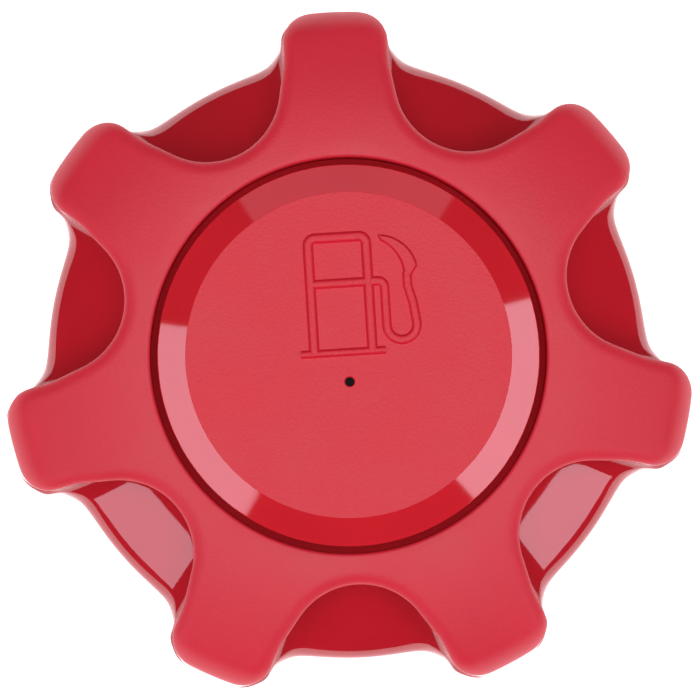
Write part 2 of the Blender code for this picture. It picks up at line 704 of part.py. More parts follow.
def clip_mesh(name, turn):
    """A snap leg of the insert, with the hook on its foot that catches under the knob's web."""
    high = INSERT_CEILING + OVERLAP
    hook = WEB_FOOT - TOUCH_GAP
    low = hook - CLIP_FOOT
    outer = CLIP_RADIUS + CLIP_THICK
    side = [
        (CLIP_RADIUS, high),
        (outer, high),
        (outer, hook),
        (outer + CLIP_HOOK, hook),
        (outer, low),
        (CLIP_RADIUS, low),
    ]
    shape = bmesh.new()
    near = [shape.verts.new((r, -CLIP_WIDTH / 2, z)) for r, z in side]
    made = bmesh.ops.extrude_face_region(shape, geom=[shape.faces.new(near)])
    far = [item for item in made["geom"] if isinstance(item, bmesh.types.BMVert)]
    bmesh.ops.translate(shape, verts=far, vec=(0, CLIP_WIDTH, 0))
    bmesh.ops.recalc_face_normals(shape, faces=shape.faces)
    spin(shape, shape.verts, turn)
    return finished(shape, name)


# ---- The raised fuel pump sign ---------------------------------------------------------------

def arc(centre, radius, start, end, steps=6):
    """Points along an arc, with angles in degrees."""
    angles = np.radians(np.linspace(start, end, steps + 1))
    return [(centre[0] + radius * math.cos(a), centre[1] + radius * math.sin(a)) for a in angles]


def bulged(start, end, rise, steps=6):
    """Points along the arc between two points that stands rise to the left of their chord."""
    chord = np.subtract(end, start)
    length = np.linalg.norm(chord)
    left = np.array([-chord[1], chord[0]]) / length
    radius = (length**2 / 4 + rise**2) / (2 * abs(rise))
    share = np.linspace(-0.5, 0.5, steps + 1)
    depth = np.sqrt(radius**2 - (share * length) ** 2) - (radius - abs(rise))
    middle = np.add(start, end) / 2
    return [
        tuple(middle + chord * s + left * math.copysign(d, rise)) for s, d in zip(share, depth)
    ]


def stroke_outline(path, width):
    """The outline of a line of one width drawn along a path."""
    path = np.array(path)
    along = np.gradient(path, axis=0)
    along /= np.linalg.norm(along, axis=1, keepdims=True)
    side = np.stack([-along[:, 1], along[:, 0]], axis=1) * width / 2
    return [tuple(p) for p in path - side] + [tuple(p) for p in (path + side)[::-1]]


def icon_outlines():
    """A plain fuel pump: housing, crossbar, base line, hose and nozzle, in the plan's units."""
    left, right = -4.3 * MM, 3.05 * MM
    low, high = 0.35 * MM, 14.9 * MM
    corner = 0.9 * MM
    shelf = 9.1 * MM
    housing = [(left, low)]
    housing += arc((left + corner, high - corner), corner, 180, 90, 4)
    housing += arc((right - corner, high - corner), corner, 90, 0, 4)
    housing += [(right, low)]
    hose_x, hose_bend, turn_x, turn_y = 5.05 * MM, 0.8 * MM, 6.95 * MM, 3.4 * MM
    hose = [(right, shelf)]
    hose += arc((hose_x - hose_bend, shelf - hose_bend), hose_bend, 90, 0, 4)
    hose += arc((turn_x, turn_y), turn_x - hose_x, 180, 370, 8)
    hose += [(7.95 * MM, 8.4 * MM), (8.0 * MM, 9.9 * MM)]
    nozzle = bulged((9.3 * MM, 10.75 * MM), (4.6 * MM, 14.9 * MM), -1.1 * MM)
    nozzle += bulged((4.9 * MM, 14.2 * MM), (7.6 * MM, 10.2 * MM), 0.6 * MM)
    nozzle += [(7.5 * MM, 9.5 * MM), (8.5 * MM, 9.6 * MM)]
    base = [(-5.9 * MM, low), (4.6 * MM, low)]
    crossbar = [(left, shelf), (right, shelf)]
    return [
        ("icon_housing", leaning(stroke_outline(housing, ICON_STROKE))),
        ("icon_crossbar", leaning(stroke_outline(crossbar, ICON_STROKE * 0.9))),
        ("icon_base", leaning(stroke_outline(base, ICON_STROKE * 0.65))),
        ("icon_hose", leaning(stroke_outline(hose, ICON_STROKE * 0.95))),
        ("icon_nozzle", leaning(nozzle)),
    ]


def leaning(outline):
    """An outline of the sign, turned to how the sign leans."""
    sine, cosine = math.sin(ICON_TURN), math.cos(ICON_TURN)
    return counter_clockwise([(x * cosine - y * sine, x * sine + y * cosine) for x, y in outline])


def counter_clockwise(outline):
    points = np.array(outline)
    after = np.roll(points, -1, axis=0)
    area = np.sum(points[:, 0] * after[:, 1] - points[:, 1] * after[:, 0])
    return outline if area > 0 else outline[::-1]


# ---- Ratchet ---------------------------------------------------------------------------------

def make_ratchet_ring(finish, body):
    """Internal teeth, in a ring whose outside follows the knob's inside and so can't turn in it."""
    hollow = inner_ring(even_angles(HOLLOW_COLUMNS), RATCHET_TOP)
    at = np.arctan2(hollow[:, 1], hollow[:, 0])
    reach = np.linalg.norm(hollow, axis=1) - TOUCH_GAP
    reach = smooth_min(reach, RATCHET_OUTER, KEY_BLEND)
    outline = [polar(r, a) for r, a in zip(reach, at)]
    mesh = prism_mesh("ratchet_ring", outline, RATCHET_FOOT, RATCHET_TOP)
    ring = add("ratchet_ring", mesh, finish, body)
    pitch = 2 * math.pi / TEETH
    teeth = []
    for start in around(TEETH):
        teeth.append(polar(TOOTH_CREST, start))
        teeth.append(polar(TOOTH_CREST + TOOTH_DEPTH, start + 0.12 * pitch))
        teeth.append(polar(TOOTH_CREST + TOOTH_DEPTH, start + 0.4 * pitch))
        teeth.append(polar(TOOTH_CREST, start + 0.9 * pitch))
    bore = prism_mesh("ratchet_teeth", teeth, RATCHET_FOOT - PAST, RATCHET_TOP + PAST)
    cut(ring, helper("ratchet_teeth", bore))
    return ring


def make_pawl_ring(finish):
    """A ring that straddles the closure's screw bosses, with spring fingers round its outside."""
    outer = PAWL_RING_INNER + PAWL_RING_WALL
    rows = [
        (PAWL_RING_INNER, PAWL_TOP),
        (outer, PAWL_TOP),
        (outer, PAWL_FOOT),
        (PAWL_RING_INNER, PAWL_FOOT),
    ]
    ring = add("pawl_ring", profile_mesh("pawl_ring", rows), finish)
    turned(ring)
    tip = TOOTH_CREST - TOUCH_GAP
    for i, start in enumerate(around(PAWLS)):
        name = f"pawl_{i + 1}"
        outline = pawl_outline(start, outer, tip)
        join(ring, helper(name, prism_mesh(name, outline, PAWL_FOOT + OVERLAP, PAWL_TOP)))
    near = SCREW_CIRCLE + PAWL_KEY / 2
    far = PAWL_RING_INNER + OVERLAP
    sideways = BOSS_RADIUS + TOUCH_GAP + PAWL_KEY / 2
    for i, turn in enumerate(around(SCREWS)):
        for side in (-1, 1):
            name = f"pawl_key_{i + 1}{'ab'[side > 0]}"
            size = (far - near, PAWL_KEY, 0.75 * BOSS_HEIGHT)
            centre = ((near + far) / 2, side * sideways, PAWL_FOOT + size[2] / 2)
            join(ring, helper(name, block_mesh(name, size, centre, turn)))
    return ring


def pawl_outline(start, outer, tip):
    """One finger: a root on the ring, a thin arc beside it, and a tooth at its end."""
    spine = tip - PAWL_TOOTH
    inside = spine - PAWL_THICK
    far = start + PAWL_SPAN
    shares = np.linspace(0, 1, 7)
    outline = [polar(outer - OVERLAP, start), polar(outer - OVERLAP, start + PAWL_ROOT)]
    outline += [polar(inside, start + PAWL_ROOT + (PAWL_SPAN - PAWL_ROOT) * s) for s in shares]
    outline += [polar(tip, far), polar(tip, far - PAWL_ROOT / 4)]
    outline += [polar(spine, far - PAWL_ROOT - (PAWL_SPAN - PAWL_ROOT) * s) for s in shares]
    return counter_clockwise(outline)


# ---- Closure ---------------------------------------------------------------------------------

def make_threaded_closure(finish):
    groove_low = SNAP_FOOT - SEAL_GAP
    groove_high = SNAP_TOP + SEAL_GAP
    hub_edge = CLOSURE_EDGE / 2
    rows = [
        (FILTER_BORE, HUB_TOP),
        (HUB_RADIUS - hub_edge, HUB_TOP),
        (HUB_RADIUS, HUB_TOP - hub_edge),
        (HUB_RADIUS, groove_high),
        (HUB_RADIUS - SNAP_GROOVE, groove_high),
        (HUB_RADIUS - SNAP_GROOVE, groove_low),
        (HUB_RADIUS, groove_low),
        (HUB_RADIUS, CLOSURE_TOP),
        (CLOSURE_OUTER - CLOSURE_EDGE, CLOSURE_TOP),
        (CLOSURE_OUTER, CLOSURE_TOP - CLOSURE_EDGE),
        (CLOSURE_OUTER, CLOSURE_FOOT),
        (CLOSURE_BORE + CLOSURE_EDGE, CLOSURE_FOOT),
        (CLOSURE_BORE, CLOSURE_FOOT + CLOSURE_EDGE),
        (CLOSURE_BORE, CLOSURE_CEILING),
        (HUB_BORE, CLOSURE_CEILING),
        (HUB_BORE, SPRING_CEILING),
        (SPRING_SEAT_BORE, SPRING_CEILING),
        (SPRING_SEAT_BORE, FILTER_FLOOR),
        (FILTER_BORE, FILTER_FLOOR),
    ]
    closure = add("threaded_closure", profile_mesh("threaded_closure", rows), finish)
    turned(closure)
    join(closure, helper("neck_thread", thread_mesh()))
    for i, turn in enumerate(around(SCREWS)):
        centre = polar(SCREW_CIRCLE, turn)
        name = f"screw_boss_{i + 1}"
        low = CLOSURE_TOP - OVERLAP
        join(closure, helper(name, cylinder_mesh(name, BOSS_RADIUS, low, BOSS_TOP, centre, 20)))
        name = f"pilot_hole_{i + 1}"
        radius = SCREW_RADIUS + TOUCH_GAP
        low = CLOSURE_CEILING - PAST
        high = FLANGE_FOOT + SCREW_LENGTH + TOUCH_GAP
        cut(closure, helper(name, cylinder_mesh(name, radius, low, high, centre, 12)))
    return closure


def thread_mesh():
    """The ridge that grips the neck: a helix of a buttress section, tapered at both ends."""
    steps = round(THREAD_TURNS * 30)
    root = CLOSURE_BORE + OVERLAP
    sections = []
    for i in range(steps + 1):
        share = i / steps
        taper = float(smoothstep(min(share, 1 - share) * 10))
        angle = FIRST_LOBE - 2 * math.pi * THREAD_TURNS * share
        height = THREAD_START + (THREAD_END - THREAD_START) * share
        crest = CLOSURE_BORE - THREAD_DEPTH * (0.1 + 0.9 * taper)
        section = [(root, 1), (crest, 0.65), (crest, -0.15), (root, -1)]
        sections.append([(*polar(r, angle), height + h * THREAD_ROOT) for r, h in section])
    shape = bmesh.new()
    rows = [[shape.verts.new(point) for point in section] for section in sections]
    for near, far in zip(rows, rows[1:]):
        for i in range(4):
            j = (i + 1) % 4
            shape.faces.new((near[i], near[j], far[j], far[i]))
    shape.faces.new(rows[0])
    shape.faces.new(rows[-1][::-1])
    bmesh.ops.recalc_face_normals(shape, faces=shape.faces)
    return finished(shape, "neck_thread")


def make_neck_gasket(finish):
    rows = [
        (GASKET_INNER, FLANGE_TOP),
        (GASKET_OUTER, FLANGE_TOP),
        (GASKET_OUTER, GASKET_FOOT),
        (GASKET_INNER, GASKET_FOOT),
    ]
    gasket = add("neck_gasket", profile_mesh("neck_gasket", rows), finish)
    turned(gasket)
    return gasket


def make_hub_retention(steel, plastic):
    """The snap ring in the hub's groove, and the washer between it and the knob's web."""
    inner = HUB_RADIUS - SNAP_GROOVE + SEAL_GAP
    rows = [(inner, SNAP_TOP), (SNAP_OUTER, SNAP_TOP), (SNAP_OUTER, SNAP_FOOT), (inner, SNAP_FOOT)]
    ring = add("hub_snap_ring", profile_mesh("hub_snap_ring", rows), steel)
    turned(ring, SMALL_STEPS)
    size = (SNAP_OUTER - inner + 2 * PAST, SNAP_OPENING, SNAP_THICK + 2 * PAST)
    centre = ((inner + SNAP_OUTER) / 2, 0, (SNAP_FOOT + SNAP_TOP) / 2)
    gap = helper("snap_ring_gap", block_mesh("snap_ring_gap", size, centre, FIRST_LOBE))
    cut(ring, gap)
    inner = HUB_RADIUS + TOUCH_GAP
    rows = [
        (inner, WASHER_TOP),
        (SNAP_OUTER, WASHER_TOP),
        (SNAP_OUTER, WASHER_FOOT),
        (inner, WASHER_FOOT),
    ]
    washer = add("thrust_washer", profile_mesh("thrust_washer", rows), plastic)
    turned(washer, SMALL_STEPS)
    return ring, washer


def make_filter(foam, plastic):
    """The dust filter in the hub's mouth, and the perforated disc that keeps it there."""
    low = FILTER_FLOOR + TOUCH_GAP
    retainer_foot = HUB_TOP - RETAINER_THICK
    mesh = cylinder_mesh("filter_disc", FILTER_RADIUS, low, retainer_foot - TOUCH_GAP)
    pad = add("filter_disc", mesh, foam)
    mesh = cylinder_mesh("filter_retainer", FILTER_RADIUS, retainer_foot, HUB_TOP)
    disc = add("filter_retainer", mesh, plastic)
    hole_circle = (FILTER_RADIUS + RETAINER_HOLE_RADIUS) / 2
    for i, turn in enumerate(around(RETAINER_HOLES)):
        name = f"retainer_hole_{i + 1}"
        centre = polar(hole_circle, turn)
        mesh = cylinder_mesh(name, RETAINER_HOLE_RADIUS, low, HUB_TOP + PAST, centre, 10)
        cut(disc, helper(name, mesh))
    return pad, disc


# ---- Vent valve ------------------------------------------------------------------------------

def make_valve_housing(finish):
    groove_low = FLANGE_TOP - 2 * SEAL_WIRE - SEAL_GAP + SEAL_PROUD
    cup = SEAL_CIRCLE
    chamfer = FLANGE_THICK / 4
    rows = [
        (CUP_BORE, FLANGE_TOP),
        (SEAL_CIRCLE - SEAL_GROOVE_HALF, FLANGE_TOP),
        (SEAL_CIRCLE - SEAL_GROOVE_HALF, groove_low),
        (SEAL_CIRCLE + SEAL_GROOVE_HALF, groove_low),
        (SEAL_CIRCLE + SEAL_GROOVE_HALF, FLANGE_TOP),
        (FLANGE_RADIUS, FLANGE_TOP),
        (FLANGE_RADIUS, FLANGE_FOOT),
        (cup + chamfer, FLANGE_FOOT),
        (cup, FLANGE_FOOT - chamfer),
        (cup, FLOOR_HEIGHT + chamfer),
        (cup - chamfer, FLOOR_HEIGHT),
        (GUIDE_OUTER, FLOOR_HEIGHT),
        (GUIDE_OUTER, GUIDE_FOOT),
        (GUIDE_BORE, GUIDE_FOOT),
        (GUIDE_BORE, FLOOR_HEIGHT),
        (PORT_RADIUS, FLOOR_HEIGHT + chamfer),
        (PORT_RADIUS, FLOOR_TOP),
        (SEAT_RADIUS - SEAT_FOOT, FLOOR_TOP),
        (SEAT_RADIUS - SEAT_CREST, SEAT_TOP),
        (SEAT_RADIUS + SEAT_CREST, SEAT_TOP),
        (SEAT_RADIUS + SEAT_FOOT, FLOOR_TOP),
        (CUP_BORE, FLOOR_TOP),
    ]
    housing = add("valve_housing", profile_mesh("valve_housing", rows), finish)
    turned(housing, SMALL_STEPS)
    for i, turn in enumerate(around(SCREWS)):
        name = f"flange_hole_{i + 1}"
        centre = polar(SCREW_CIRCLE, turn)
        radius = SCREW_RADIUS + RUNNING_GAP
        mesh = cylinder_mesh(name, radius, FLANGE_FOOT - PAST, FLANGE_TOP + PAST, centre, 12)
        cut(housing, helper(name, mesh))
    return housing


def make_housing_seal(finish):
    """An O-ring in the flange's groove."""
    height = FLANGE_TOP - SEAL_WIRE + SEAL_PROUD
    rows = []
    for angle in np.radians([90, 30, -30, -90, -150, -210]):
        rows.append((SEAL_CIRCLE + SEAL_WIRE * math.cos(angle), height + SEAL_WIRE * math.sin(angle)))
    seal = add("housing_seal", profile_mesh("housing_seal", rows), finish)
    turned(seal, SMALL_STEPS)
    return seal


def make_housing_screws(finish):
    under = FLANGE_FOOT - TOUCH_GAP
    rows = [
        (0, under + SCREW_LENGTH),
        (SCREW_RADIUS * 0.6, under + SCREW_LENGTH),
        (SCREW_RADIUS, under + SCREW_LENGTH - SCREW_TIP),
        (SCREW_RADIUS, under),
        (SCREW_HEAD_RADIUS, under),
        (SCREW_HEAD_RADIUS, under - 0.6 * SCREW_HEAD_HEIGHT),
        (SCREW_HEAD_RADIUS * 0.72, under - SCREW_HEAD_HEIGHT),
        (0, under - SCREW_HEAD_HEIGHT),
    ]
    mesh = profile_mesh("housing_screw", rows, closed=False)
    head = under - SCREW_HEAD_HEIGHT
    socket = cylinder_mesh("screw_socket", SOCKET_RADIUS, head - PAST, head + SOCKET_DEPTH, steps=6)
    for i, turn in enumerate(around(SCREWS)):
        screw = add(f"housing_screw_{i + 1}", mesh.copy(), finish)
        turned(screw, 16)
        tool = helper(f"screw_socket_{i + 1}", socket)
        screw.location = (*polar(SCREW_CIRCLE, turn), 0)
        tool.location = screw.location
        cut(screw, tool)


def make_ball_cage(finish):
    high = FLOOR_HEIGHT - TOUCH_GAP
    rows = [
        (0, CAGE_CEILING),
        (CAGE_BORE, CAGE_CEILING),
        (CAGE_BORE, high),
        (CAGE_OUTER, high),
        (CAGE_OUTER, CAGE_FOOT + CAGE_EDGE),
        (CAGE_OUTER - CAGE_EDGE, CAGE_FOOT),
        (0, CAGE_FOOT),
    ]
    cage = add("ball_cage", profile_mesh("ball_cage", rows, closed=False), finish)
    turned(cage, SMALL_STEPS)
    low = CAGE_CEILING + CAGE_SILL
    top = high - CAGE_HEAD
    for i, turn in enumerate(around(CAGE_WINDOWS, FIRST_LOBE / 2)):
        name = f"cage_window_{i + 1}"
        size = (CAGE_WALL + 2 * PAST, CAGE_WINDOW_WIDTH, top - low)
        centre = ((CAGE_BORE + CAGE_OUTER) / 2, 0, (low + top) / 2)
        cut(cage, helper(name, block_mesh(name, size, centre, turn)))
    return cage


def make_rollover_ball(finish, body):
    shape = bmesh.new()
    made = bmesh.ops.create_uvsphere(shape, u_segments=16, v_segments=10, radius=BALL_RADIUS)
    bmesh.ops.translate(shape, verts=made["verts"], vec=(0, 0, BALL_HEIGHT))
    return add("rollover_ball", finished(shape, "rollover_ball"), finish, body)


def make_relief_plate(steel, rubber, body):
    rows = [
        (STEM_BORE, PLATE_TOP),
        (PLATE_RADIUS - PLATE_EDGE, PLATE_TOP),
        (PLATE_RADIUS, PLATE_TOP - PLATE_EDGE),
        (PLATE_RADIUS, PLATE_FOOT),
        (STEM_BORE, PLATE_FOOT),
    ]
    plate = add("relief_plate", profile_mesh("relief_plate", rows), steel, body)
    turned(plate, SMALL_STEPS)
    for i, turn in enumerate(around(BREATHERS)):
        name = f"breather_{i + 1}"
        centre = polar(BREATHER_CIRCLE, turn)
        mesh = cylinder_mesh(name, BREATHER_RADIUS, PLATE_FOOT - PAST, PLATE_TOP + PAST, centre, 8)
        cut(plate, helper(name, mesh))
    inner = SEAT_RADIUS - PLATE_SEAL_WIDTH / 2
    outer = SEAT_RADIUS + PLATE_SEAL_WIDTH / 2
    high, low = PLATE_SEAL_TOP, PLATE_SEAL_FOOT
    rows = [(inner, high), (outer, high), (outer, low), (inner, low)]
    seal = add("relief_seal", profile_mesh("relief_seal", rows), rubber, body)
    turned(seal, SMALL_STEPS)
    return plate, seal


def make_vacuum_valve(plastic, steel, body):
    """A disc under the relief plate, on a stem that passes up through it to a push-on collar."""
    disc_foot = VACUUM_DISC_TOP - VACUUM_DISC_THICK
    foot = PLATE_TOP + VACUUM_SPRING_LENGTH + 2 * TOUCH_GAP
    top = foot + COLLAR_THICK
    rows = [
        (0, top + STEM_PROUD),
        (VACUUM_STEM_RADIUS, top + STEM_PROUD),
        (VACUUM_STEM_RADIUS, VACUUM_DISC_TOP),
        (VACUUM_DISC_RADIUS, VACUUM_DISC_TOP),
        (VACUUM_DISC_RADIUS, disc_foot),
        (0, disc_foot),
    ]
    valve = add("vacuum_valve", profile_mesh("vacuum_valve", rows, closed=False), plastic, body)
    turned(valve, FINE_STEPS)
    bore = VACUUM_STEM_RADIUS + SEAL_GAP
    rows = [(bore, top), (COLLAR_RADIUS, top), (COLLAR_RADIUS, foot), (bore, foot)]
    collar = add("stem_collar", profile_mesh("stem_collar", rows), steel, body)
    turned(collar, FINE_STEPS)
    return valve, collar


def coil(name, radius, wire, turns, low, high, around_steps, finish, body):
    """A compression spring as a bevelled curve, standing between two heights."""
    curve = bpy.data.curves.new(name, "CURVE")
    curve.dimensions = "3D"
    curve.bevel_depth = wire
    curve.bevel_resolution = 1
    curve.use_fill_caps = True
    line = curve.splines.new("POLY")
    count = round(turns * around_steps)
    line.points.add(count)
    for i in range(count + 1):
        share = i / count
        height = low + wire + (high - low - 2 * wire) * share
        x, y = polar(radius, FIRST_LOBE + 2 * math.pi * turns * share)
        line.points[i].co = (x, y, height, 1)
    spring = bpy.data.objects.new(name, curve)
    bpy.data.collections[PARTS].objects.link(spring)
    curve.materials.append(finish)
    place_under(spring, body)
    return spring


def make_springs(steel, relief, vacuum):
    low = PLATE_TOP + TOUCH_GAP
    high = SPRING_CEILING - TOUCH_GAP
    coil(
        "relief_spring", RELIEF_SPRING_RADIUS, RELIEF_SPRING_WIRE, RELIEF_SPRING_TURNS,
        low, high, 12, steel, relief,
    )
    coil(
        "vacuum_spring", VACUUM_SPRING_RADIUS, VACUUM_SPRING_WIRE, VACUUM_SPRING_TURNS,
        low, low + VACUUM_SPRING_LENGTH, 10, steel, vacuum,
    )


# ---- The whole cap ---------------------------------------------------------------------------

def main():
    clear_scene()
    red = material("knob_red", (0.60, 0.012, 0.028), 0.42)
    insert_red = material("insert_red", (0.62, 0.014, 0.03), 0.40)
    black = material("closure_black", (0.018, 0.018, 0.020), 0.45)
    acetal = material("ratchet_natural", (0.72, 0.70, 0.63), 0.40)
    grey = material("valve_grey", (0.16, 0.17, 0.18), 0.45)
    rubber = material("seal_rubber", (0.020, 0.020, 0.022), 0.75)
    steel = material("zinc_steel", (0.62, 0.62, 0.60), 0.30, 1.0)
    foam = material("filter_foam", (0.45, 0.43, 0.38), 0.95)

    knob = joint_empty("knob_turn", PLATEAU_HEIGHT)
    relief = joint_empty("relief_lift", PLATE_FOOT)
    vacuum = joint_empty("vacuum_drop", VACUUM_DISC_TOP, relief)
    ball = joint_empty("ball_rise", BALL_HEIGHT)

    make_knob_shell(red, knob)
    make_top_insert(insert_red, knob)
    make_ratchet_ring(acetal, knob)
    make_pawl_ring(acetal)
    make_threaded_closure(black)
    make_neck_gasket(rubber)
    make_hub_retention(steel, acetal)
    make_filter(foam, grey)
    make_valve_housing(grey)
    make_housing_seal(rubber)
    make_housing_screws(steel)
    make_ball_cage(grey)
    make_rollover_ball(acetal, ball)
    make_relief_plate(steel, rubber, relief)
    make_vacuum_valve(acetal, steel, vacuum)
    make_springs(steel, relief, vacuum)


main()
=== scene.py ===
"""How the fuel tank cap looks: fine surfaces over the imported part, on a white table under softboxes."""

import math

import bmesh
import bpy
import numpy as np
from mathutils import Matrix, Vector


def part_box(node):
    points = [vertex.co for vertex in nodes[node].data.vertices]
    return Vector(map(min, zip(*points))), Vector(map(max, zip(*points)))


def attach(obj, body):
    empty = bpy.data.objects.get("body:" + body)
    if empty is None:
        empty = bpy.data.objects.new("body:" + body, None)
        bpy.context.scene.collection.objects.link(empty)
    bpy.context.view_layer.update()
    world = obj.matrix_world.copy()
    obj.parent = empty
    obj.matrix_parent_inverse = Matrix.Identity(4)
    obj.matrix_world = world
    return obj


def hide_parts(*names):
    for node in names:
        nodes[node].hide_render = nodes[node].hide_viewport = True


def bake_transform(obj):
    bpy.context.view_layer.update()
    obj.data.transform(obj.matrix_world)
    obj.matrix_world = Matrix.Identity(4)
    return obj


MM = 0.001

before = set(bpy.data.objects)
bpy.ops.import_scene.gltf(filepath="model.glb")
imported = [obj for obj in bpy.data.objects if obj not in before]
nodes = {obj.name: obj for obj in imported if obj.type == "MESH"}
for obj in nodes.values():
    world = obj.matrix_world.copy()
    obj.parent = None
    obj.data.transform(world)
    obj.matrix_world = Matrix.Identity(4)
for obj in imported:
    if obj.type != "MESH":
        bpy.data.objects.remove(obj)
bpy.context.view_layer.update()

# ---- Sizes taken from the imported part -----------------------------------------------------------

SHELL_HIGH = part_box("knob_shell")[1]
INSERT_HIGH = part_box("top_insert")[1]
PLATEAU = SHELL_HIGH.z
TIP_RADIUS = SHELL_HIGH.y
INSERT_RADIUS = INSERT_HIGH.x
CLOSURE_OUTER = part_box("threaded_closure")[1].x
WASHER_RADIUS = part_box("thrust_washer")[1].x

# ---- Sizes repeated from the part's source ------------------------------------------------------

LOBES = 7
PERIOD = 2 * math.pi / LOBES
FIRST_LOBE = math.pi / 2
LOBE_REACH = 6.2 * MM
SKIRT_RADIUS = TIP_RADIUS - LOBE_REACH
TIP_DRAFT = 0.7 * MM
TIP_CORNER = 4.0 * MM
LOBE_HALF = 6.65 * MM          # half a lobe's width at its tip
SIDE_BLEND = 0.6 * MM
SMALLEST_ANGLE = math.radians(1)
BASE_BLEND = 8.4 * MM
NOSE_START = math.radians(15)  # from a scallop's middle: its top edge begins to change to a tip's
NOSE_END = math.radians(22)
DOME_DROP = 3.6 * MM           # the top face falls by this over DOME_SPAN
DOME_SPAN = 17.0 * MM
SCALLOP_BITE = 2.0 * MM
SCALLOP_REACH = CLOSURE_OUTER - SCALLOP_BITE
SCALLOP_ARC = 9.3 * MM
SCALLOP_ANGLE = math.radians(36)
EDGE_WIDTH = 1.8 * MM
EDGE_FALL = 1.1 * MM
NOSE_WIDTH = 3.2 * MM
NOSE_FALL = 3.4 * MM
WALL_LEAN = 0.05
LEDGE_SHARE = 0.8
LEDGE_RISE = 1.2 * MM
RIM_ROUND = 1.6 * MM
FLOOR_RISE = 4.6 * MM
FLOOR_POWER = 1.1
FLOOR_RUN = (LEDGE_SHARE - WALL_LEAN) * (SKIRT_RADIUS - SCALLOP_REACH)
FOOT_EDGE = 0.4 * MM
WALL = 2.3 * MM
SIDE_WALL = 2.5 * MM
WEB = 2.0 * MM
CUP_WALL = 2.4 * MM
INSERT_GROOVE = 0.9 * MM
RECESS_RADIUS = INSERT_RADIUS + INSERT_GROOVE
RECESS_CHAMFER = 0.4 * MM
RECESS_DEPTH = 4.5 * MM
RATCHET_ROOM = 6.3 * MM
SKIRT_DROP = 2.1 * MM
TOUCH_GAP = 0.3 * MM
RUNNING_GAP = 0.4 * MM
SNAP_REACH = 2.2 * MM
WEB_TOP = PLATEAU - RECESS_DEPTH
WEB_FOOT = WEB_TOP - WEB
SKIRT_HEIGHT = WEB_FOOT - RATCHET_ROOM - SKIRT_DROP
LEDGE_HEIGHT = SKIRT_HEIGHT + LEDGE_RISE
RIM_FOOT = SKIRT_HEIGHT - RIM_ROUND
HUB_GAP_RADIUS = (WASHER_RADIUS - SNAP_REACH) + RUNNING_GAP

ICON_RISE = 0.35 * MM
ICON_STROKE = 1.05 * MM
ICON_TURN = math.radians(1.2)
ICON_STEP = 0.01 * MM          # between the tops of strokes that cross
INSERT_TOP = INSERT_HIGH.z - ICON_RISE
INSERT_RIM = 2.6 * MM
INSERT_PLATE = 2.0 * MM
INSERT_ROUND = 0.16 * MM
CHAMFER_WIDTH = 3.6 * MM
CHAMFER_FALL = 1.4 * MM
VENT_RADIUS = 0.6 * MM
VENT_OFFSET = 3.4 * MM
VENT_FLARE = 0.12 * MM

CLIPS = 3
CLIP_MARGIN = 1.3 * MM         # between the washer and the clips
CLIP_THICK = 1.5 * MM
CLIP_HOOK = 0.7 * MM
CLIP_FOOT = 1.2 * MM
CLIP_HALF = 3.0 * MM
CLIP_SUNK = 0.5 * MM           # how far a clip reaches into the insert's plate

RELIEF_WIRE = 0.3 * MM         # half the wire's width
RELIEF_TURNS = 5.5
VACUUM_WIRE = 0.18 * MM
VACUUM_TURNS = 4

COLUMNS = 80                   # in each lobe's share of the knob
SUPPORT = 0.02 * MM            # rows beside a rounded corner, which keep the faces next to it flat
INSERT_STEPS = 192
VENT_STEPS = 40
COIL_STEPS = 40                # round each turn of a spring
WIRE_STEPS = 12
COIL_END = 0.25                # turns that lie flat at each end of a spring
AXIS_REACH = 1e-9              # points nearer the axis than this lie on it


# ---- Shapes -------------------------------------------------------------------------------------

def smoothstep(value):
    value = np.clip(value, 0, 1)
    return value * value * (3 - 2 * value)


def smooth_min(a, b, blend):
    share = np.clip(0.5 + 0.5 * (b - a) / blend, 0, 1)
    return b + (a - b) * share - blend * share * (1 - share)


def smooth_max(a, b, blend):
    return -smooth_min(-a, -b, blend)


def from_scallop(angles):
    turned_by = angles - FIRST_LOBE - PERIOD / 2
    return np.abs((turned_by + PERIOD / 2) % PERIOD - PERIOD / 2)


def top_radius(angles):
    """Where the top face's edge lies: a scallop's arc, its flanks, and the lobe's round corners."""
    off = from_scallop(angles)
    across = PERIOD / 2 - off
    centre = SCALLOP_REACH + SCALLOP_ARC
    chord = np.clip(SCALLOP_ARC**2 - (centre * np.sin(off)) ** 2, 0, None)
    on_arc = centre * np.cos(off) - np.sqrt(chord)
    offset = centre * math.sin(SCALLOP_ANGLE) - SCALLOP_ARC
    on_flank = offset / np.sin(SCALLOP_ANGLE - off)
    join_angle = math.atan2(
        SCALLOP_ARC * math.cos(SCALLOP_ANGLE), centre - SCALLOP_ARC * math.sin(SCALLOP_ANGLE)
    )
    on_side = LOBE_HALF / np.sin(np.clip(across, SMALLEST_ANGLE, None))
    edge = smooth_max(np.where(off < join_angle, on_arc, on_flank), on_side, SIDE_BLEND)
    tip = TIP_RADIUS - TIP_DRAFT
    corner_turn = math.asin((LOBE_HALF - TIP_CORNER) / (tip - TIP_CORNER))
    past = np.clip(across - corner_turn, 0, None)
    sideways = (tip - TIP_CORNER) * np.sin(past)
    half_chord = np.sqrt(np.clip(TIP_CORNER**2 - sideways**2, 0, None))
    on_corner = (tip - TIP_CORNER) * np.cos(past) + half_chord
    corner_end = math.atan2(LOBE_HALF, (tip - TIP_CORNER) * math.cos(corner_turn))
    return np.where(across < corner_end, np.minimum(on_corner, edge), edge)


def base_radius(angles):
    """The outline at the base: the skirt's circle, which swells into each lobe."""
    blend = BASE_BLEND * (1 - nose_share(angles)) + SIDE_BLEND
    return smooth_max(top_radius(angles) + TIP_DRAFT, SKIRT_RADIUS, blend)


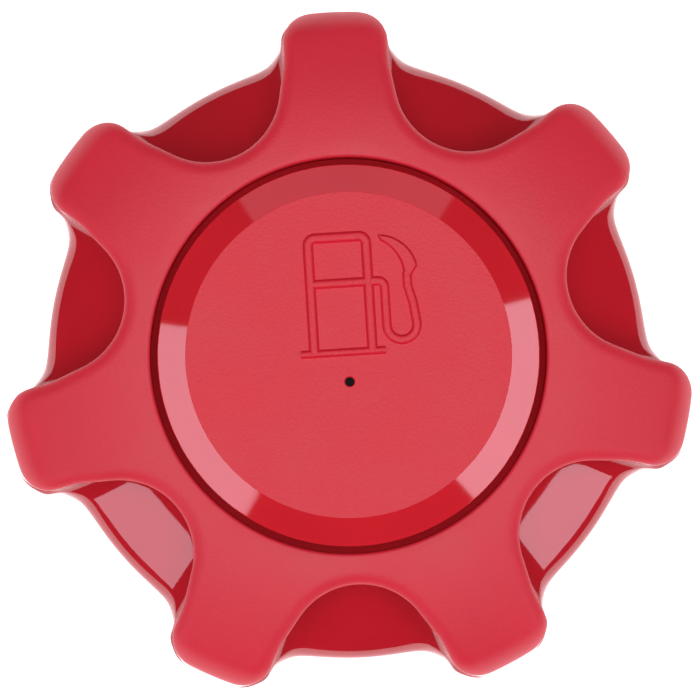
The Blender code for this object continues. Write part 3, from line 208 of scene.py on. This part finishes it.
def even_angles(columns):
    fine = np.linspace(0, PERIOD, 2881) + FIRST_LOBE
    radius = top_radius(fine)
    x, y = radius * np.cos(fine), radius * np.sin(fine)
    length = np.concatenate([[0], np.cumsum(np.hypot(np.diff(x), np.diff(y)))])
    wanted = np.linspace(0, length[-1], columns, endpoint=False)
    one = np.interp(wanted, length, fine)
    return np.concatenate([one + PERIOD * i for i in range(LOBES)])


def flat_points(radius, angles):
    return np.stack([radius * np.cos(angles), radius * np.sin(angles)], axis=1)


def outward(points):
    along = np.roll(points, -1, axis=0) - np.roll(points, 1, axis=0)
    normal = np.stack([along[:, 1], -along[:, 0]], axis=1)
    return normal / np.linalg.norm(normal, axis=1, keepdims=True)


def dome(points):
    out = np.clip(np.linalg.norm(points, axis=1) - RECESS_RADIUS, 0, None)
    return PLATEAU - DOME_DROP * (out / DOME_SPAN) ** 2


def raised(points, heights):
    heights = np.broadcast_to(heights, (len(points),))
    return np.concatenate([points, heights[:, None]], axis=1)


def nose_share(angles):
    return smoothstep((from_scallop(angles) - NOSE_START) / (NOSE_END - NOSE_START))


def scoop_share(height, edge_height, run, nose):
    """How far the outside lies from the top edge to the base, at a height above the ledge."""
    fallen = (edge_height - height) / (edge_height - LEDGE_HEIGHT)
    wall = WALL_LEAN * (edge_height - height) / (edge_height - floor_top(run))
    risen = np.clip((height - LEDGE_HEIGHT) / FLOOR_RISE, 0, 1)
    inward = FLOOR_RUN * (1 - (1 - risen) ** FLOOR_POWER)
    floor = np.where(risen < 1, LEDGE_SHARE - inward / run, 0)
    between = np.maximum(wall, floor)
    return between + (LEDGE_SHARE * fallen - between) * nose


def floor_top(run):
    inward = np.clip((LEDGE_SHARE - WALL_LEAN) * run / FLOOR_RUN, 0, 1)
    return LEDGE_HEIGHT + FLOOR_RISE * (1 - (1 - inward) ** (1 / FLOOR_POWER))


def recess_rings(angles):
    """From the hub's bore over the recess's floor and up its wall to a rounded corner."""
    rings = [
        raised(flat_points(HUB_GAP_RADIUS, angles), WEB_FOOT),
        raised(flat_points(HUB_GAP_RADIUS, angles), WEB_TOP),
        raised(flat_points(RECESS_RADIUS, angles), WEB_TOP),
        raised(flat_points(RECESS_RADIUS, angles), PLATEAU - RECESS_CHAMFER),
    ]
    for turn in (22.5, 45, 67.5):
        lean = math.radians(turn)
        radius = RECESS_RADIUS + RECESS_CHAMFER * (1 - math.cos(lean))
        height = PLATEAU - RECESS_CHAMFER * (1 - math.sin(lean))
        rings.append(raised(flat_points(radius, angles), height))
    return rings


def top_rings(angles, top, nose):
    """Over the top face, and round its outer edge."""
    width = EDGE_WIDTH + (NOSE_WIDTH - EDGE_WIDTH) * nose
    fall = EDGE_FALL + (NOSE_FALL - EDGE_FALL) * nose
    normal = outward(top)
    brow = top - normal * width[:, None]
    start = flat_points(RECESS_RADIUS + RECESS_CHAMFER, angles)
    rings = []
    for share in np.linspace(0, 1, 9):
        flat = start + (brow - start) * share
        rings.append(raised(flat, dome(flat)))
    for turn in np.linspace(9, 85, 11):
        lean = math.radians(turn)
        flat = top - normal * (width * (1 - math.sin(lean)))[:, None]
        rings.append(raised(flat, dome(flat) - fall * (1 - math.cos(lean))))
    return rings


def scoop_rings(top, base, nose, edge_height):
    """Down a scoop's wall and floor, or a lobe's tip, and round the rim."""
    run = np.linalg.norm(base - top, axis=1)
    foot = floor_top(run)
    heights = [edge_height + (foot - edge_height) * share for share in (0.05, 0.35, 0.7, 0.92)]
    for share in (1, 0.96, 0.9, 0.8, 0.68, 0.55, 0.42, 0.3, 0.2, 0.1, 0):
        heights.append(LEDGE_HEIGHT + (foot - LEDGE_HEIGHT) * share)
    rings = []
    for height in heights:
        out = scoop_share(height, edge_height, run, nose)
        rings.append(raised(top + (base - top) * out[:, None], height))
    for share in np.linspace(0.125, 1, 8):
        left = 1 - share
        out = 1 - (1 - LEDGE_SHARE) * left**2
        height = LEDGE_HEIGHT * left**2 + 2 * SKIRT_HEIGHT * share * left + RIM_FOOT * share**2
        rings.append(raised(top + (base - top) * out, height))
    return rings


def foot_rings(base):
    """Down the skirt and round its lower edge."""
    rings = [raised(base, FOOT_EDGE)]
    away = outward(base)
    for turn in (30, 60, 90):
        lean = math.radians(turn)
        inset = FOOT_EDGE * (1 - math.cos(lean))
        rings.append(raised(base - away * inset, FOOT_EDGE * (1 - math.sin(lean))))
    return rings


def inside_rings(angles, top, base, nose, edge_height):
    """Up the skirt's inside, into the lobes' pockets, and in to the hub under the web."""
    run = np.linalg.norm(base - top, axis=1)

    def inner(height):
        height = np.minimum(height, edge_height)
        share = scoop_share(np.maximum(height, LEDGE_HEIGHT), edge_height, run, nose)
        share = np.where(height < SKIRT_HEIGHT, 1, share)
        flat = top + (base - top) * share[:, None]
        return flat - outward(flat) * SIDE_WALL

    skirt = inner(0)
    rings = [raised(skirt, 0), raised(skirt, RIM_FOOT)]
    for share in (0, 0.15, 0.4, 0.7, 1):
        height = LEDGE_HEIGHT + FLOOR_RISE * share
        rings.append(raised(inner(height), height))
    rings.append(raised(inner(WEB_FOOT), WEB_FOOT))
    upper = inner(PLATEAU)
    reach = np.linalg.norm(upper, axis=1)
    cup = RECESS_RADIUS + CUP_WALL
    pocket = reach > cup + 0.1 * MM
    outer = upper * (np.maximum(reach, cup) / reach)[:, None]
    rings.append(raised(outer, np.where(pocket, dome(upper) - WALL, WEB_FOOT)))
    rings.append(raised(flat_points(cup, angles), np.where(pocket, PLATEAU - WALL, WEB_FOOT)))
    rings.append(raised(flat_points(cup, angles), WEB_FOOT))
    return rings


def knob_rings():
    """All the knob's rings in order, and the number of the one at the top face's crisp edge."""
    angles = even_angles(COLUMNS)
    top = flat_points(top_radius(angles), angles)
    base = flat_points(base_radius(angles), angles)
    nose = nose_share(angles)
    rings = recess_rings(angles) + top_rings(angles, top, nose)
    crisp = len(rings) - 1
    edge_height = rings[-1][:, 2]
    rings += scoop_rings(top, base, nose, edge_height)
    rings += foot_rings(base)
    rings += inside_rings(angles, top, base, nose, edge_height)
    return rings, crisp


def mesh_from_rings(name, rings):
    """A closed tube of quads: the last ring joins the first."""
    count = len(rings[0])
    points = np.concatenate(rings)
    faces = []
    for level in range(len(rings)):
        low = level * count
        high = ((level + 1) % len(rings)) * count
        for i in range(count):
            j = (i + 1) % count
            faces.append((low + i, high + i, high + j, low + j))
    mesh = bpy.data.meshes.new(name)
    mesh.from_pydata([tuple(p) for p in points], [], faces)
    return mesh


def smooth_piece(name, mesh, sharp):
    """An object with outward faces, smooth but for edges sharper than an angle."""
    piece = bpy.data.objects.new(name, mesh)
    bpy.context.scene.collection.objects.link(piece)
    clean = bmesh.new()
    clean.from_mesh(mesh)
    bmesh.ops.recalc_face_normals(clean, faces=clean.faces)
    clean.to_mesh(mesh)
    clean.free()
    mesh.shade_smooth()
    mesh.set_sharp_from_angle(angle=math.radians(sharp))
    return piece


def add(name, mesh, body, replaced, sharp):
    piece = smooth_piece(name, mesh, sharp)
    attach(piece, body)
    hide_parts(replaced)
    return piece


def make_knob(matte, gloss, recess):
    """The knob: matte up to the top face's crisp edge, glossy below it, dull in the recess."""
    rings, crisp = knob_rings()
    mesh = mesh_from_rings("knob_grip", rings)
    for made in (matte, gloss, recess):
        mesh.materials.append(made)
    crisp_faces = crisp * len(rings[0])
    recess_reach = RECESS_RADIUS + RECESS_CHAMFER / 2
    recess_height = PLATEAU - RECESS_CHAMFER - 0.1 * MM
    for number, polygon in enumerate(mesh.polygons):
        reach = math.hypot(polygon.center.x, polygon.center.y)
        if number >= crisp_faces:
            polygon.material_index = 1
        elif reach < recess_reach and polygon.center.z < recess_height:
            polygon.material_index = 2
    return add("knob_grip", mesh, "knob", "knob_shell", sharp=33)


def rounded(rows, radius, steps=4):
    """A profile with its corners rounded. Corners on the axis are left alone."""
    rows = [np.array(row, dtype=float) for row in rows]
    count = len(rows)
    result = []
    for i, corner in enumerate(rows):
        before, after = rows[i - 1], rows[(i + 1) % count]
        to_before, to_after = before - corner, after - corner
        room = 0.45 * min(np.linalg.norm(to_before), np.linalg.norm(to_after))
        if corner[0] < AXIS_REACH or room < AXIS_REACH:
            result.append(tuple(corner))
            continue
        one, two = to_before / np.linalg.norm(to_before), to_after / np.linalg.norm(to_after)
        bend = math.acos(float(np.clip(np.dot(one, two), -1, 1)))
        back = min(room, radius / math.tan(bend / 2))
        first, last = corner + one * back, corner + two * back
        result.append(tuple(first + one * SUPPORT))
        for share in np.linspace(0, 1, steps + 1):
            left = 1 - share
            result.append(tuple(first * left**2 + corner * 2 * share * left + last * share**2))
        result.append(tuple(last + two * SUPPORT))
    return result


def turned(name, rows, steps):
    """A solid of revolution about the Z axis, from a profile that is closed or touches the axis."""
    mesh = bpy.data.meshes.new(name)
    shape = bmesh.new()
    lines = []
    for radius, height in rows:
        if radius < AXIS_REACH:
            lines.append([shape.verts.new((0, 0, height))])
            continue
        lines.append([
            shape.verts.new((radius * math.cos(a), radius * math.sin(a), height))
            for a in np.linspace(0, 2 * math.pi, steps, endpoint=False)
        ])
    for one, two in zip(lines, lines[1:] + lines[:1]):
        if len(one) == 1 and len(two) == 1:
            continue
        for i in range(steps):
            j = (i + 1) % steps
            if len(one) == 1:
                shape.faces.new((one[0], two[i], two[j]))
            elif len(two) == 1:
                shape.faces.new((one[i], two[0], one[j]))
            else:
                shape.faces.new((one[i], two[i], two[j], one[j]))
    bmesh.ops.recalc_face_normals(shape, faces=shape.faces)
    shape.to_mesh(mesh)
    shape.free()
    return mesh


def cut_away(piece, mesh):
    """Cuts a shape out of a piece for good."""
    tool = bpy.data.objects.new("tool", mesh)
    bpy.context.scene.collection.objects.link(tool)
    step = piece.modifiers.new("cut", "BOOLEAN")
    step.operation = "DIFFERENCE"
    step.object = tool
    step.solver = "EXACT"
    bpy.context.view_layer.update()
    evaluated = piece.evaluated_get(bpy.context.evaluated_depsgraph_get())
    old = piece.data
    piece.data = bpy.data.meshes.new_from_object(evaluated)
    piece.modifiers.clear()
    bpy.data.objects.remove(tool)
    bpy.data.meshes.remove(old)


def cutter(radius, low, high, centre, flare):
    """An upright round cutter, whose upper end opens out by flare."""
    shape = bmesh.new()
    rows = [(radius, low), (radius, high - flare), (radius + 2 * flare, high + flare)]
    loops = []
    for r, z in rows:
        loops.append([
            shape.verts.new((centre[0] + r * math.cos(a), centre[1] + r * math.sin(a), z))
            for a in np.linspace(0, 2 * math.pi, VENT_STEPS, endpoint=False)
        ])
    shape.faces.new(loops[0][::-1])
    shape.faces.new(loops[-1])
    join_rows(shape, loops)
    bmesh.ops.recalc_face_normals(shape, faces=shape.faces)
    mesh = bpy.data.meshes.new("cutter")
    shape.to_mesh(mesh)
    shape.free()
    return mesh


def join_rows(shape, rows):
    """Quads between each closed row of vertices and the next."""
    for one, two in zip(rows, rows[1:]):
        for i in range(len(one)):
            j = (i + 1) % len(one)
            shape.faces.new((one[i], one[j], two[j], two[i]))


# ---- The raised fuel pump sign ------------------------------------------------------------------

def arc(centre, radius, start, end, steps=10):
    angles = np.radians(np.linspace(start, end, steps + 1))
    return [(centre[0] + radius * math.cos(a), centre[1] + radius * math.sin(a)) for a in angles]


def bulged(start, end, rise, steps=12):
    chord = np.subtract(end, start)
    length = np.linalg.norm(chord)
    left = np.array([-chord[1], chord[0]]) / length
    radius = (length**2 / 4 + rise**2) / (2 * abs(rise))
    share = np.linspace(-0.5, 0.5, steps + 1)
    depth = np.sqrt(radius**2 - (share * length) ** 2) - (radius - abs(rise))
    middle = np.add(start, end) / 2
    return [tuple(middle + chord * s + left * math.copysign(d, rise)) for s, d in zip(share, depth)]


def leaning(points):
    """Points of the sign, turned to how the sign leans."""
    sine, cosine = math.sin(ICON_TURN), math.cos(ICON_TURN)
    return np.array(points) @ np.array([[cosine, sine], [-sine, cosine]])


def ridge(shape, path, width, lower=0):
    """A raised line with soft shoulders along a path, sunk a little into the face."""
    path = leaning(path)
    along = np.gradient(path, axis=0)
    along /= np.linalg.norm(along, axis=1, keepdims=True)
    side = np.stack([-along[:, 1], along[:, 0]], axis=1)
    half = width / 2
    section = [
        (half + 0.22 * MM, -0.05 * MM), (half + 0.09 * MM, 0.05 * MM), (half, 0.17 * MM),
        (half - 0.08 * MM, 0.28 * MM), (half - 0.2 * MM, 0.335 * MM), (half - 0.34 * MM, ICON_RISE),
    ]
    section = section + [(-across, up) for across, up in section[::-1]]
    path[0] -= along[0] * 0.1 * MM
    path[-1] += along[-1] * 0.1 * MM
    rows = []
    for point, across in zip(path, side):
        rows.append([
            shape.verts.new((*(point + across * a), INSERT_TOP + up - lower)) for a, up in section
        ])
    join_rows(shape, rows)
    shape.faces.new(rows[0])
    shape.faces.new(rows[-1][::-1])


def blob(shape, outline):
    """A raised patch with soft shoulders."""
    outline = leaning(outline)
    after, before = np.roll(outline, -1, axis=0), np.roll(outline, 1, axis=0)
    area = np.sum(outline[:, 0] * after[:, 1] - outline[:, 1] * after[:, 0])
    along = after - before
    along /= np.linalg.norm(along, axis=1, keepdims=True)
    inward = np.stack([-along[:, 1], along[:, 0]], axis=1) * math.copysign(1, area)
    rows = []
    for inset, up in ((-0.12, -0.05), (-0.04, 0.06), (0.03, 0.17), (0.1, 0.28), (0.2, 0.34)):
        ring = outline + inward * inset * MM
        rows.append([shape.verts.new((x, y, INSERT_TOP + up * MM)) for x, y in ring])
    join_rows(shape, rows)
    shape.faces.new(rows[-1])
    shape.faces.new(rows[0][::-1])


def fuel_pump(shape):
    left, right = -4.3 * MM, 3.05 * MM
    low, high = 0.35 * MM, 14.9 * MM
    corner, shelf = 0.9 * MM, 9.1 * MM
    housing = [(left, low - 0.1 * MM), (left, low + 1 * MM), (left, 7 * MM)]
    housing += arc((left + corner, high - corner), corner, 180, 90)
    housing += arc((right - corner, high - corner), corner, 90, 0)
    housing += [(right, 7 * MM), (right, low + 1 * MM), (right, low - 0.1 * MM)]
    hose_x, bend, turn_x, turn_y = 5.05 * MM, 0.8 * MM, 6.95 * MM, 3.4 * MM
    hose = [(right, shelf), (right + 0.6 * MM, shelf)]
    hose += arc((hose_x - bend, shelf - bend), bend, 90, 0)
    hose += arc((turn_x, turn_y), turn_x - hose_x, 180, 370, 20)
    hose += [(8.55 * MM, 6 * MM), (7.95 * MM, 8.4 * MM), (8.0 * MM, 9.9 * MM)]
    nozzle = bulged((9.3 * MM, 10.75 * MM), (4.6 * MM, 14.9 * MM), -1.1 * MM)
    nozzle += bulged((4.9 * MM, 14.2 * MM), (7.6 * MM, 10.2 * MM), 0.6 * MM)
    nozzle += [(7.5 * MM, 9.5 * MM), (8.5 * MM, 9.6 * MM)]
    ridge(shape, housing, ICON_STROKE)
    ridge(shape, [(left, shelf), (0, shelf), (right, shelf)], ICON_STROKE * 0.9, ICON_STEP)
    ridge(shape, [(-5.9 * MM, low), (0, low), (4.6 * MM, low)], ICON_STROKE * 0.75, 2 * ICON_STEP)
    ridge(shape, hose, ICON_STROKE * 0.95, 3 * ICON_STEP)
    blob(shape, nozzle)


def make_insert(matte, gloss):
    """The centre insert: a matte disc in a glossy chamfer, with the sign, the vent hole and the clips."""
    face = INSERT_RADIUS - CHAMFER_WIDTH
    under = INSERT_RADIUS - INSERT_RIM
    foot = WEB_TOP + TOUCH_GAP
    ceiling = INSERT_TOP - INSERT_PLATE
    edge = [(0, INSERT_TOP), (face, INSERT_TOP), (INSERT_RADIUS, INSERT_TOP - CHAMFER_FALL)]
    rows = edge + [(INSERT_RADIUS, foot), (under, foot), (under, ceiling), (0, ceiling)]
    mesh = turned("fuel_sign_insert", rounded(rows, INSERT_ROUND), INSERT_STEPS)
    mesh.materials.append(matte)
    mesh.materials.append(gloss)
    for polygon in mesh.polygons:
        reach = math.hypot(polygon.center.x, polygon.center.y)
        polygon.material_index = 0 if reach < face and polygon.center.z > ceiling + MM else 1
    piece = add("fuel_sign_insert", mesh, "knob", "top_insert", sharp=30)
    cut_away(piece, cutter(VENT_RADIUS, ceiling - MM, INSERT_TOP, (0, -VENT_OFFSET), VENT_FLARE))
    shape = bmesh.new()
    shape.from_mesh(piece.data)
    fuel_pump(shape)
    for i in range(CLIPS):
        clip(shape, FIRST_LOBE + 2 * math.pi * i / CLIPS, ceiling)
    bmesh.ops.recalc_face_normals(shape, faces=shape.faces)
    shape.to_mesh(piece.data)
    shape.free()
    piece.data.shade_smooth()
    piece.data.set_sharp_from_angle(angle=math.radians(30))


def clip(shape, turn, ceiling):
    """A snap leg of the insert."""
    inner = WASHER_RADIUS + CLIP_MARGIN
    outer = inner + CLIP_THICK
    hook = WEB_FOOT - TOUCH_GAP
    low = hook - CLIP_FOOT
    high = ceiling + CLIP_SUNK
    side = [(inner, high), (outer, high), (outer, hook)]
    side += [(outer + CLIP_HOOK, hook), (outer, low), (inner, low)]
    cosine, sine = math.cos(turn), math.sin(turn)
    rows = []
    for across in (-CLIP_HALF, CLIP_HALF):
        rows.append([
            shape.verts.new((r * cosine - across * sine, r * sine + across * cosine, z))
            for r, z in side
        ])
    faces = [shape.faces.new(rows[0]), shape.faces.new(rows[1][::-1])]
    for i in range(len(side)):
        j = (i + 1) % len(side)
        faces.append(shape.faces.new((rows[0][j], rows[0][i], rows[1][i], rows[1][j])))
    for face in faces:
        face.material_index = 1
        face.smooth = False


# ---- The springs --------------------------------------------------------------------------------

def make_coil(name, replaced, wire, turns, steel):
    """A round-wire spring with closed ends, filling the height of the part it replaces."""
    low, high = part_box(replaced)
    radius = (high.y - low.y) / 2 - wire
    angles = np.linspace(0, 2 * math.pi * turns, round(turns * COIL_STEPS) + 1)
    share = np.clip((angles / (2 * math.pi) - COIL_END) / (turns - 2 * COIL_END), 0, 1)
    middle = np.stack([
        radius * np.cos(FIRST_LOBE + angles),
        radius * np.sin(FIRST_LOBE + angles),
        low.z + wire + (high.z - low.z - 2 * wire) * share,
    ], axis=1)
    along = np.gradient(middle, axis=0)
    along /= np.linalg.norm(along, axis=1, keepdims=True)
    out = np.stack([np.cos(FIRST_LOBE + angles), np.sin(FIRST_LOBE + angles), 0 * angles], axis=1)
    up = np.cross(along, out)
    shape = bmesh.new()
    rows = []
    for point, level, upright in zip(middle, out, up):
        rows.append([
            shape.verts.new(point + wire * (level * math.cos(a) + upright * math.sin(a)))
            for a in np.linspace(0, 2 * math.pi, WIRE_STEPS, endpoint=False)
        ])
    join_rows(shape, rows)
    shape.faces.new(rows[0][::-1])
    shape.faces.new(rows[-1])
    mesh = bpy.data.meshes.new(name)
    shape.to_mesh(mesh)
    shape.free()
    mesh.materials.append(steel)
    piece = smooth_piece(name, mesh, sharp=40)
    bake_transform(piece)
    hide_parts(replaced)


# ---- Finishes -----------------------------------------------------------------------------------

DRIFT_SIZE = 9 * MM            # of the patches in which colour and gloss drift
GLOSS_DRIFT = 0.05
PIT_SHADE = 0.93               # of the colour in the grain's pits


def finish(name, colour, roughness, grain=0.0, grain_size=0.35 * MM, metallic=0.0, drift=0.04,
           specular=0.5):
    """A moulded or metal surface: drifting colour and gloss, and a fine grain."""
    made = bpy.data.materials.new(name)
    made.use_nodes = True
    tree = made.node_tree
    links = tree.links
    shader = tree.nodes["Principled BSDF"]
    shader.inputs["Metallic"].default_value = metallic
    shader.inputs["Specular IOR Level"].default_value = specular
    place = tree.nodes.new("ShaderNodeTexCoord")

    def noise(size, detail):
        node = tree.nodes.new("ShaderNodeTexNoise")
        node.inputs["Scale"].default_value = 1 / size
        node.inputs["Detail"].default_value = detail
        links.new(place.outputs["Object"], node.inputs["Vector"])
        return node

    def ranged(source, low, high, start=0.3, end=0.7):
        node = tree.nodes.new("ShaderNodeMapRange")
        node.inputs["From Min"].default_value = start
        node.inputs["From Max"].default_value = end
        node.inputs["To Min"].default_value = low
        node.inputs["To Max"].default_value = high
        links.new(source, node.inputs["Value"])
        return node.outputs["Result"]

    def mixed(share, one, two):
        node = tree.nodes.new("ShaderNodeMix")
        node.data_type = "RGBA"
        links.new(share, node.inputs["Factor"])
        for socket, value in (("A", one), ("B", two)):
            target = [s for s in node.inputs if s.name == socket and s.type == "RGBA"][0]
            if isinstance(value, bpy.types.NodeSocket):
                links.new(value, target)
            else:
                target.default_value = (*value, 1)
        return [s for s in node.outputs if s.type == "RGBA"][0]

    broad = noise(DRIFT_SIZE, 3).outputs["Fac"]
    fine = noise(grain_size, 2).outputs["Fac"]
    darker = tuple(c * (1 - drift) for c in colour)
    lighter = tuple(min(1, c * (1 + drift)) for c in colour)
    shade = mixed(ranged(broad, 0, 1), darker, lighter)
    if grain:
        pits = tuple(c * PIT_SHADE for c in colour)
        shade = mixed(ranged(fine, 0.35, 0, 0.35, 0.5), shade, pits)
    links.new(shade, shader.inputs["Base Color"])
    gloss = ranged(broad, roughness - GLOSS_DRIFT * roughness, roughness + GLOSS_DRIFT * roughness)
    links.new(gloss, shader.inputs["Roughness"])
    if grain:
        bump = tree.nodes.new("ShaderNodeBump")
        bump.inputs["Strength"].default_value = 1.0
        bump.inputs["Distance"].default_value = grain
        links.new(fine, bump.inputs["Height"])
        links.new(bump.outputs["Normal"], shader.inputs["Normal"])
    return made


# ---- Stage --------------------------------------------------------------------------------------

FLOOR_REACH = 1.5
FLOOR_GAP = 0.05 * MM
FLOOR_GLOW = 0.85
ROSY = (1, 0.86, 1)
WORLD_GLOW = 0.06
AIM = Vector((0, 0, 12 * MM))  # where the lights point
BAND_LIFT = 47.5               # elevation of the lights that the chamfer mirrors
TALL_LIFT = 27                 # elevation of the lights that the lower scoops mirror
BAND_HEIGHT = 0.17
TALL_HEIGHT = 0.3

CAMERA_ROLL = 2.4
CAMERA_DISTANCE = 0.62
CAMERA_LEAN_DOWN = 1.8
CAMERA_LEAN_LEFT = 0.6
TARGET_HEIGHT = 8.2 * MM
TARGET_UP = 1.22 * MM
TARGET_RIGHT = 0.37 * MM
SENSOR_WIDTH = 36
VIEW_WIDTH = 91.217 * MM       # what the frame spans at the target


def make_floor():
    mesh = bpy.data.meshes.new("table")
    reach = FLOOR_REACH
    corners = [(-reach, -reach, 0), (reach, -reach, 0), (reach, reach, 0), (-reach, reach, 0)]
    mesh.from_pydata(corners, [], [(0, 1, 2, 3)])
    floor = bpy.data.objects.new("table", mesh)
    floor.location.z = -FLOOR_GAP
    bpy.context.scene.collection.objects.link(floor)
    pale = bpy.data.materials.new("white_table")
    pale.use_nodes = True
    shader = pale.node_tree.nodes["Principled BSDF"]
    shader.inputs["Base Color"].default_value = (0.9, 0.9, 0.9, 1)
    shader.inputs["Roughness"].default_value = 0.9
    shader.inputs["Emission Color"].default_value = (1, 1, 1, 1)
    shader.inputs["Emission Strength"].default_value = FLOOR_GLOW
    mesh.materials.append(pale)


def softbox(name, azimuth, elevation, distance, width, height, strength, colour=(1, 1, 1)):
    """A rectangular light that faces the cap."""
    light = bpy.data.lights.new(name, "AREA")
    light.shape = "RECTANGLE"
    light.size = width
    light.size_y = height
    light.energy = strength * width * height
    light.color = colour
    lamp = bpy.data.objects.new(name, light)
    bpy.context.scene.collection.objects.link(lamp)
    turn, lift = math.radians(azimuth), math.radians(elevation)
    way = Vector((math.cos(lift) * math.cos(turn), math.cos(lift) * math.sin(turn), math.sin(lift)))
    lamp.location = AIM + way * distance
    lamp.rotation_euler = way.to_track_quat("Z", "Y").to_euler()


def make_lights():
    world = bpy.data.worlds.new("studio")
    world.use_nodes = True
    background = world.node_tree.nodes["Background"]
    background.inputs["Color"].default_value = (1, 1, 1, 1)
    background.inputs["Strength"].default_value = WORLD_GLOW
    bpy.context.scene.world = world
    softbox("overhead", -90, 86, 1.6, 1.1, 1.0, 14)
    # The camera's up is turned from +Y by CAMERA_ROLL, so light azimuths are given as seen in the view
    softbox("left_band", 202 - CAMERA_ROLL, BAND_LIFT, 1.0, 0.86, BAND_HEIGHT, 10.5, ROSY)
    softbox("left_tall", 220 - CAMERA_ROLL, TALL_LIFT, 1.0, 0.40, TALL_HEIGHT, 8.5, ROSY)
    softbox("right_band", -13 - CAMERA_ROLL, BAND_LIFT, 1.0, 0.84, BAND_HEIGHT, 11.5, ROSY)
    softbox("right_tall", -38 - CAMERA_ROLL, TALL_LIFT, 1.0, 0.34, TALL_HEIGHT, 9.5, ROSY)
    softbox("back_weak", 90 - CAMERA_ROLL, BAND_LIFT, 1.0, 0.86, BAND_HEIGHT, 2.1, ROSY)


def make_camera():
    roll = math.radians(CAMERA_ROLL)
    up = Vector((math.sin(roll), math.cos(roll), 0))
    right = Vector((math.cos(roll), -math.sin(roll), 0))
    target = Vector((0, 0, TARGET_HEIGHT)) + up * TARGET_UP + right * TARGET_RIGHT
    down = math.tan(math.radians(CAMERA_LEAN_DOWN))
    left = math.tan(math.radians(CAMERA_LEAN_LEFT))
    way = (Vector((0, 0, 1)) - up * down - right * left).normalized()
    data = bpy.data.cameras.new("camera")
    data.sensor_width = SENSOR_WIDTH
    data.sensor_fit = "HORIZONTAL"
    data.lens = SENSOR_WIDTH * CAMERA_DISTANCE / VIEW_WIDTH
    data.clip_start = 0.01
    data.clip_end = 10
    camera = bpy.data.objects.new("camera", data)
    bpy.context.scene.collection.objects.link(camera)
    camera.location = target + way * CAMERA_DISTANCE
    side = up.cross(way).normalized()
    true_up = way.cross(side).normalized()
    camera.rotation_euler = Matrix((side, true_up, way)).transposed().to_euler()
    bpy.context.scene.camera = camera
    bpy.context.scene.view_settings.view_transform = "Standard"
    bpy.context.scene.view_settings.look = "None"


# ---- The whole view -----------------------------------------------------------------------------

matte_red = finish("matte_red", (0.68, 0.014, 0.036), 0.52, grain=0.035 * MM, grain_size=0.33 * MM,
                   drift=0.03)
disc_red = finish("disc_red", (0.71, 0.013, 0.033), 0.47, grain=0.055 * MM, grain_size=0.31 * MM,
                  drift=0.03, specular=0.37)
gloss_red = finish("gloss_red", (0.52, 0.009, 0.020), 0.06, drift=0.03, specular=0.85)
# A lighter copy of gloss_red for the insert's chamfer and clips: painted light, so the chamfer reads
# brighter than the knob's shaded scoops
insert_gloss_painted_light = finish("insert_gloss_painted_light", (0.66, 0.013, 0.024), 0.06, drift=0.03, specular=0.85)
recess_red = finish("recess_red", (0.62, 0.009, 0.020), 0.7, drift=0.03, specular=0.15)

make_knob(matte_red, gloss_red, recess_red)
make_insert(disc_red, insert_gloss_painted_light)

FINISHES = {
    "closure_black": finish("closure_black", (0.020, 0.020, 0.022), 0.42, grain=0.01 * MM, drift=0.1),
    "ratchet_natural": finish("ratchet_natural", (0.70, 0.68, 0.60), 0.4, grain=0.01 * MM),
    "valve_grey": finish("valve_grey", (0.05, 0.053, 0.057), 0.42, grain=0.01 * MM, drift=0.08),
    "seal_rubber": finish("seal_rubber", (0.022, 0.022, 0.024), 0.7, grain=0.03 * MM, drift=0.15),
    "zinc_steel": finish("zinc_steel", (0.62, 0.62, 0.60), 0.28, metallic=1.0, drift=0.06),
    "filter_foam": finish("filter_foam", (0.06, 0.058, 0.054), 0.95, grain=0.15 * MM, grain_size=0.6 * MM),
}
for node in nodes.values():
    if node.hide_render:
        continue
    for slot in node.material_slots:
        slot.material = FINISHES[slot.material.name.split(".")[0]]

STEEL = FINISHES["zinc_steel"]
make_coil("relief_coil", "relief_spring", RELIEF_WIRE, RELIEF_TURNS, STEEL)
make_coil("vacuum_coil", "vacuum_spring", VACUUM_WIRE, VACUUM_TURNS, STEEL)

make_floor()
make_lights()
make_camera()
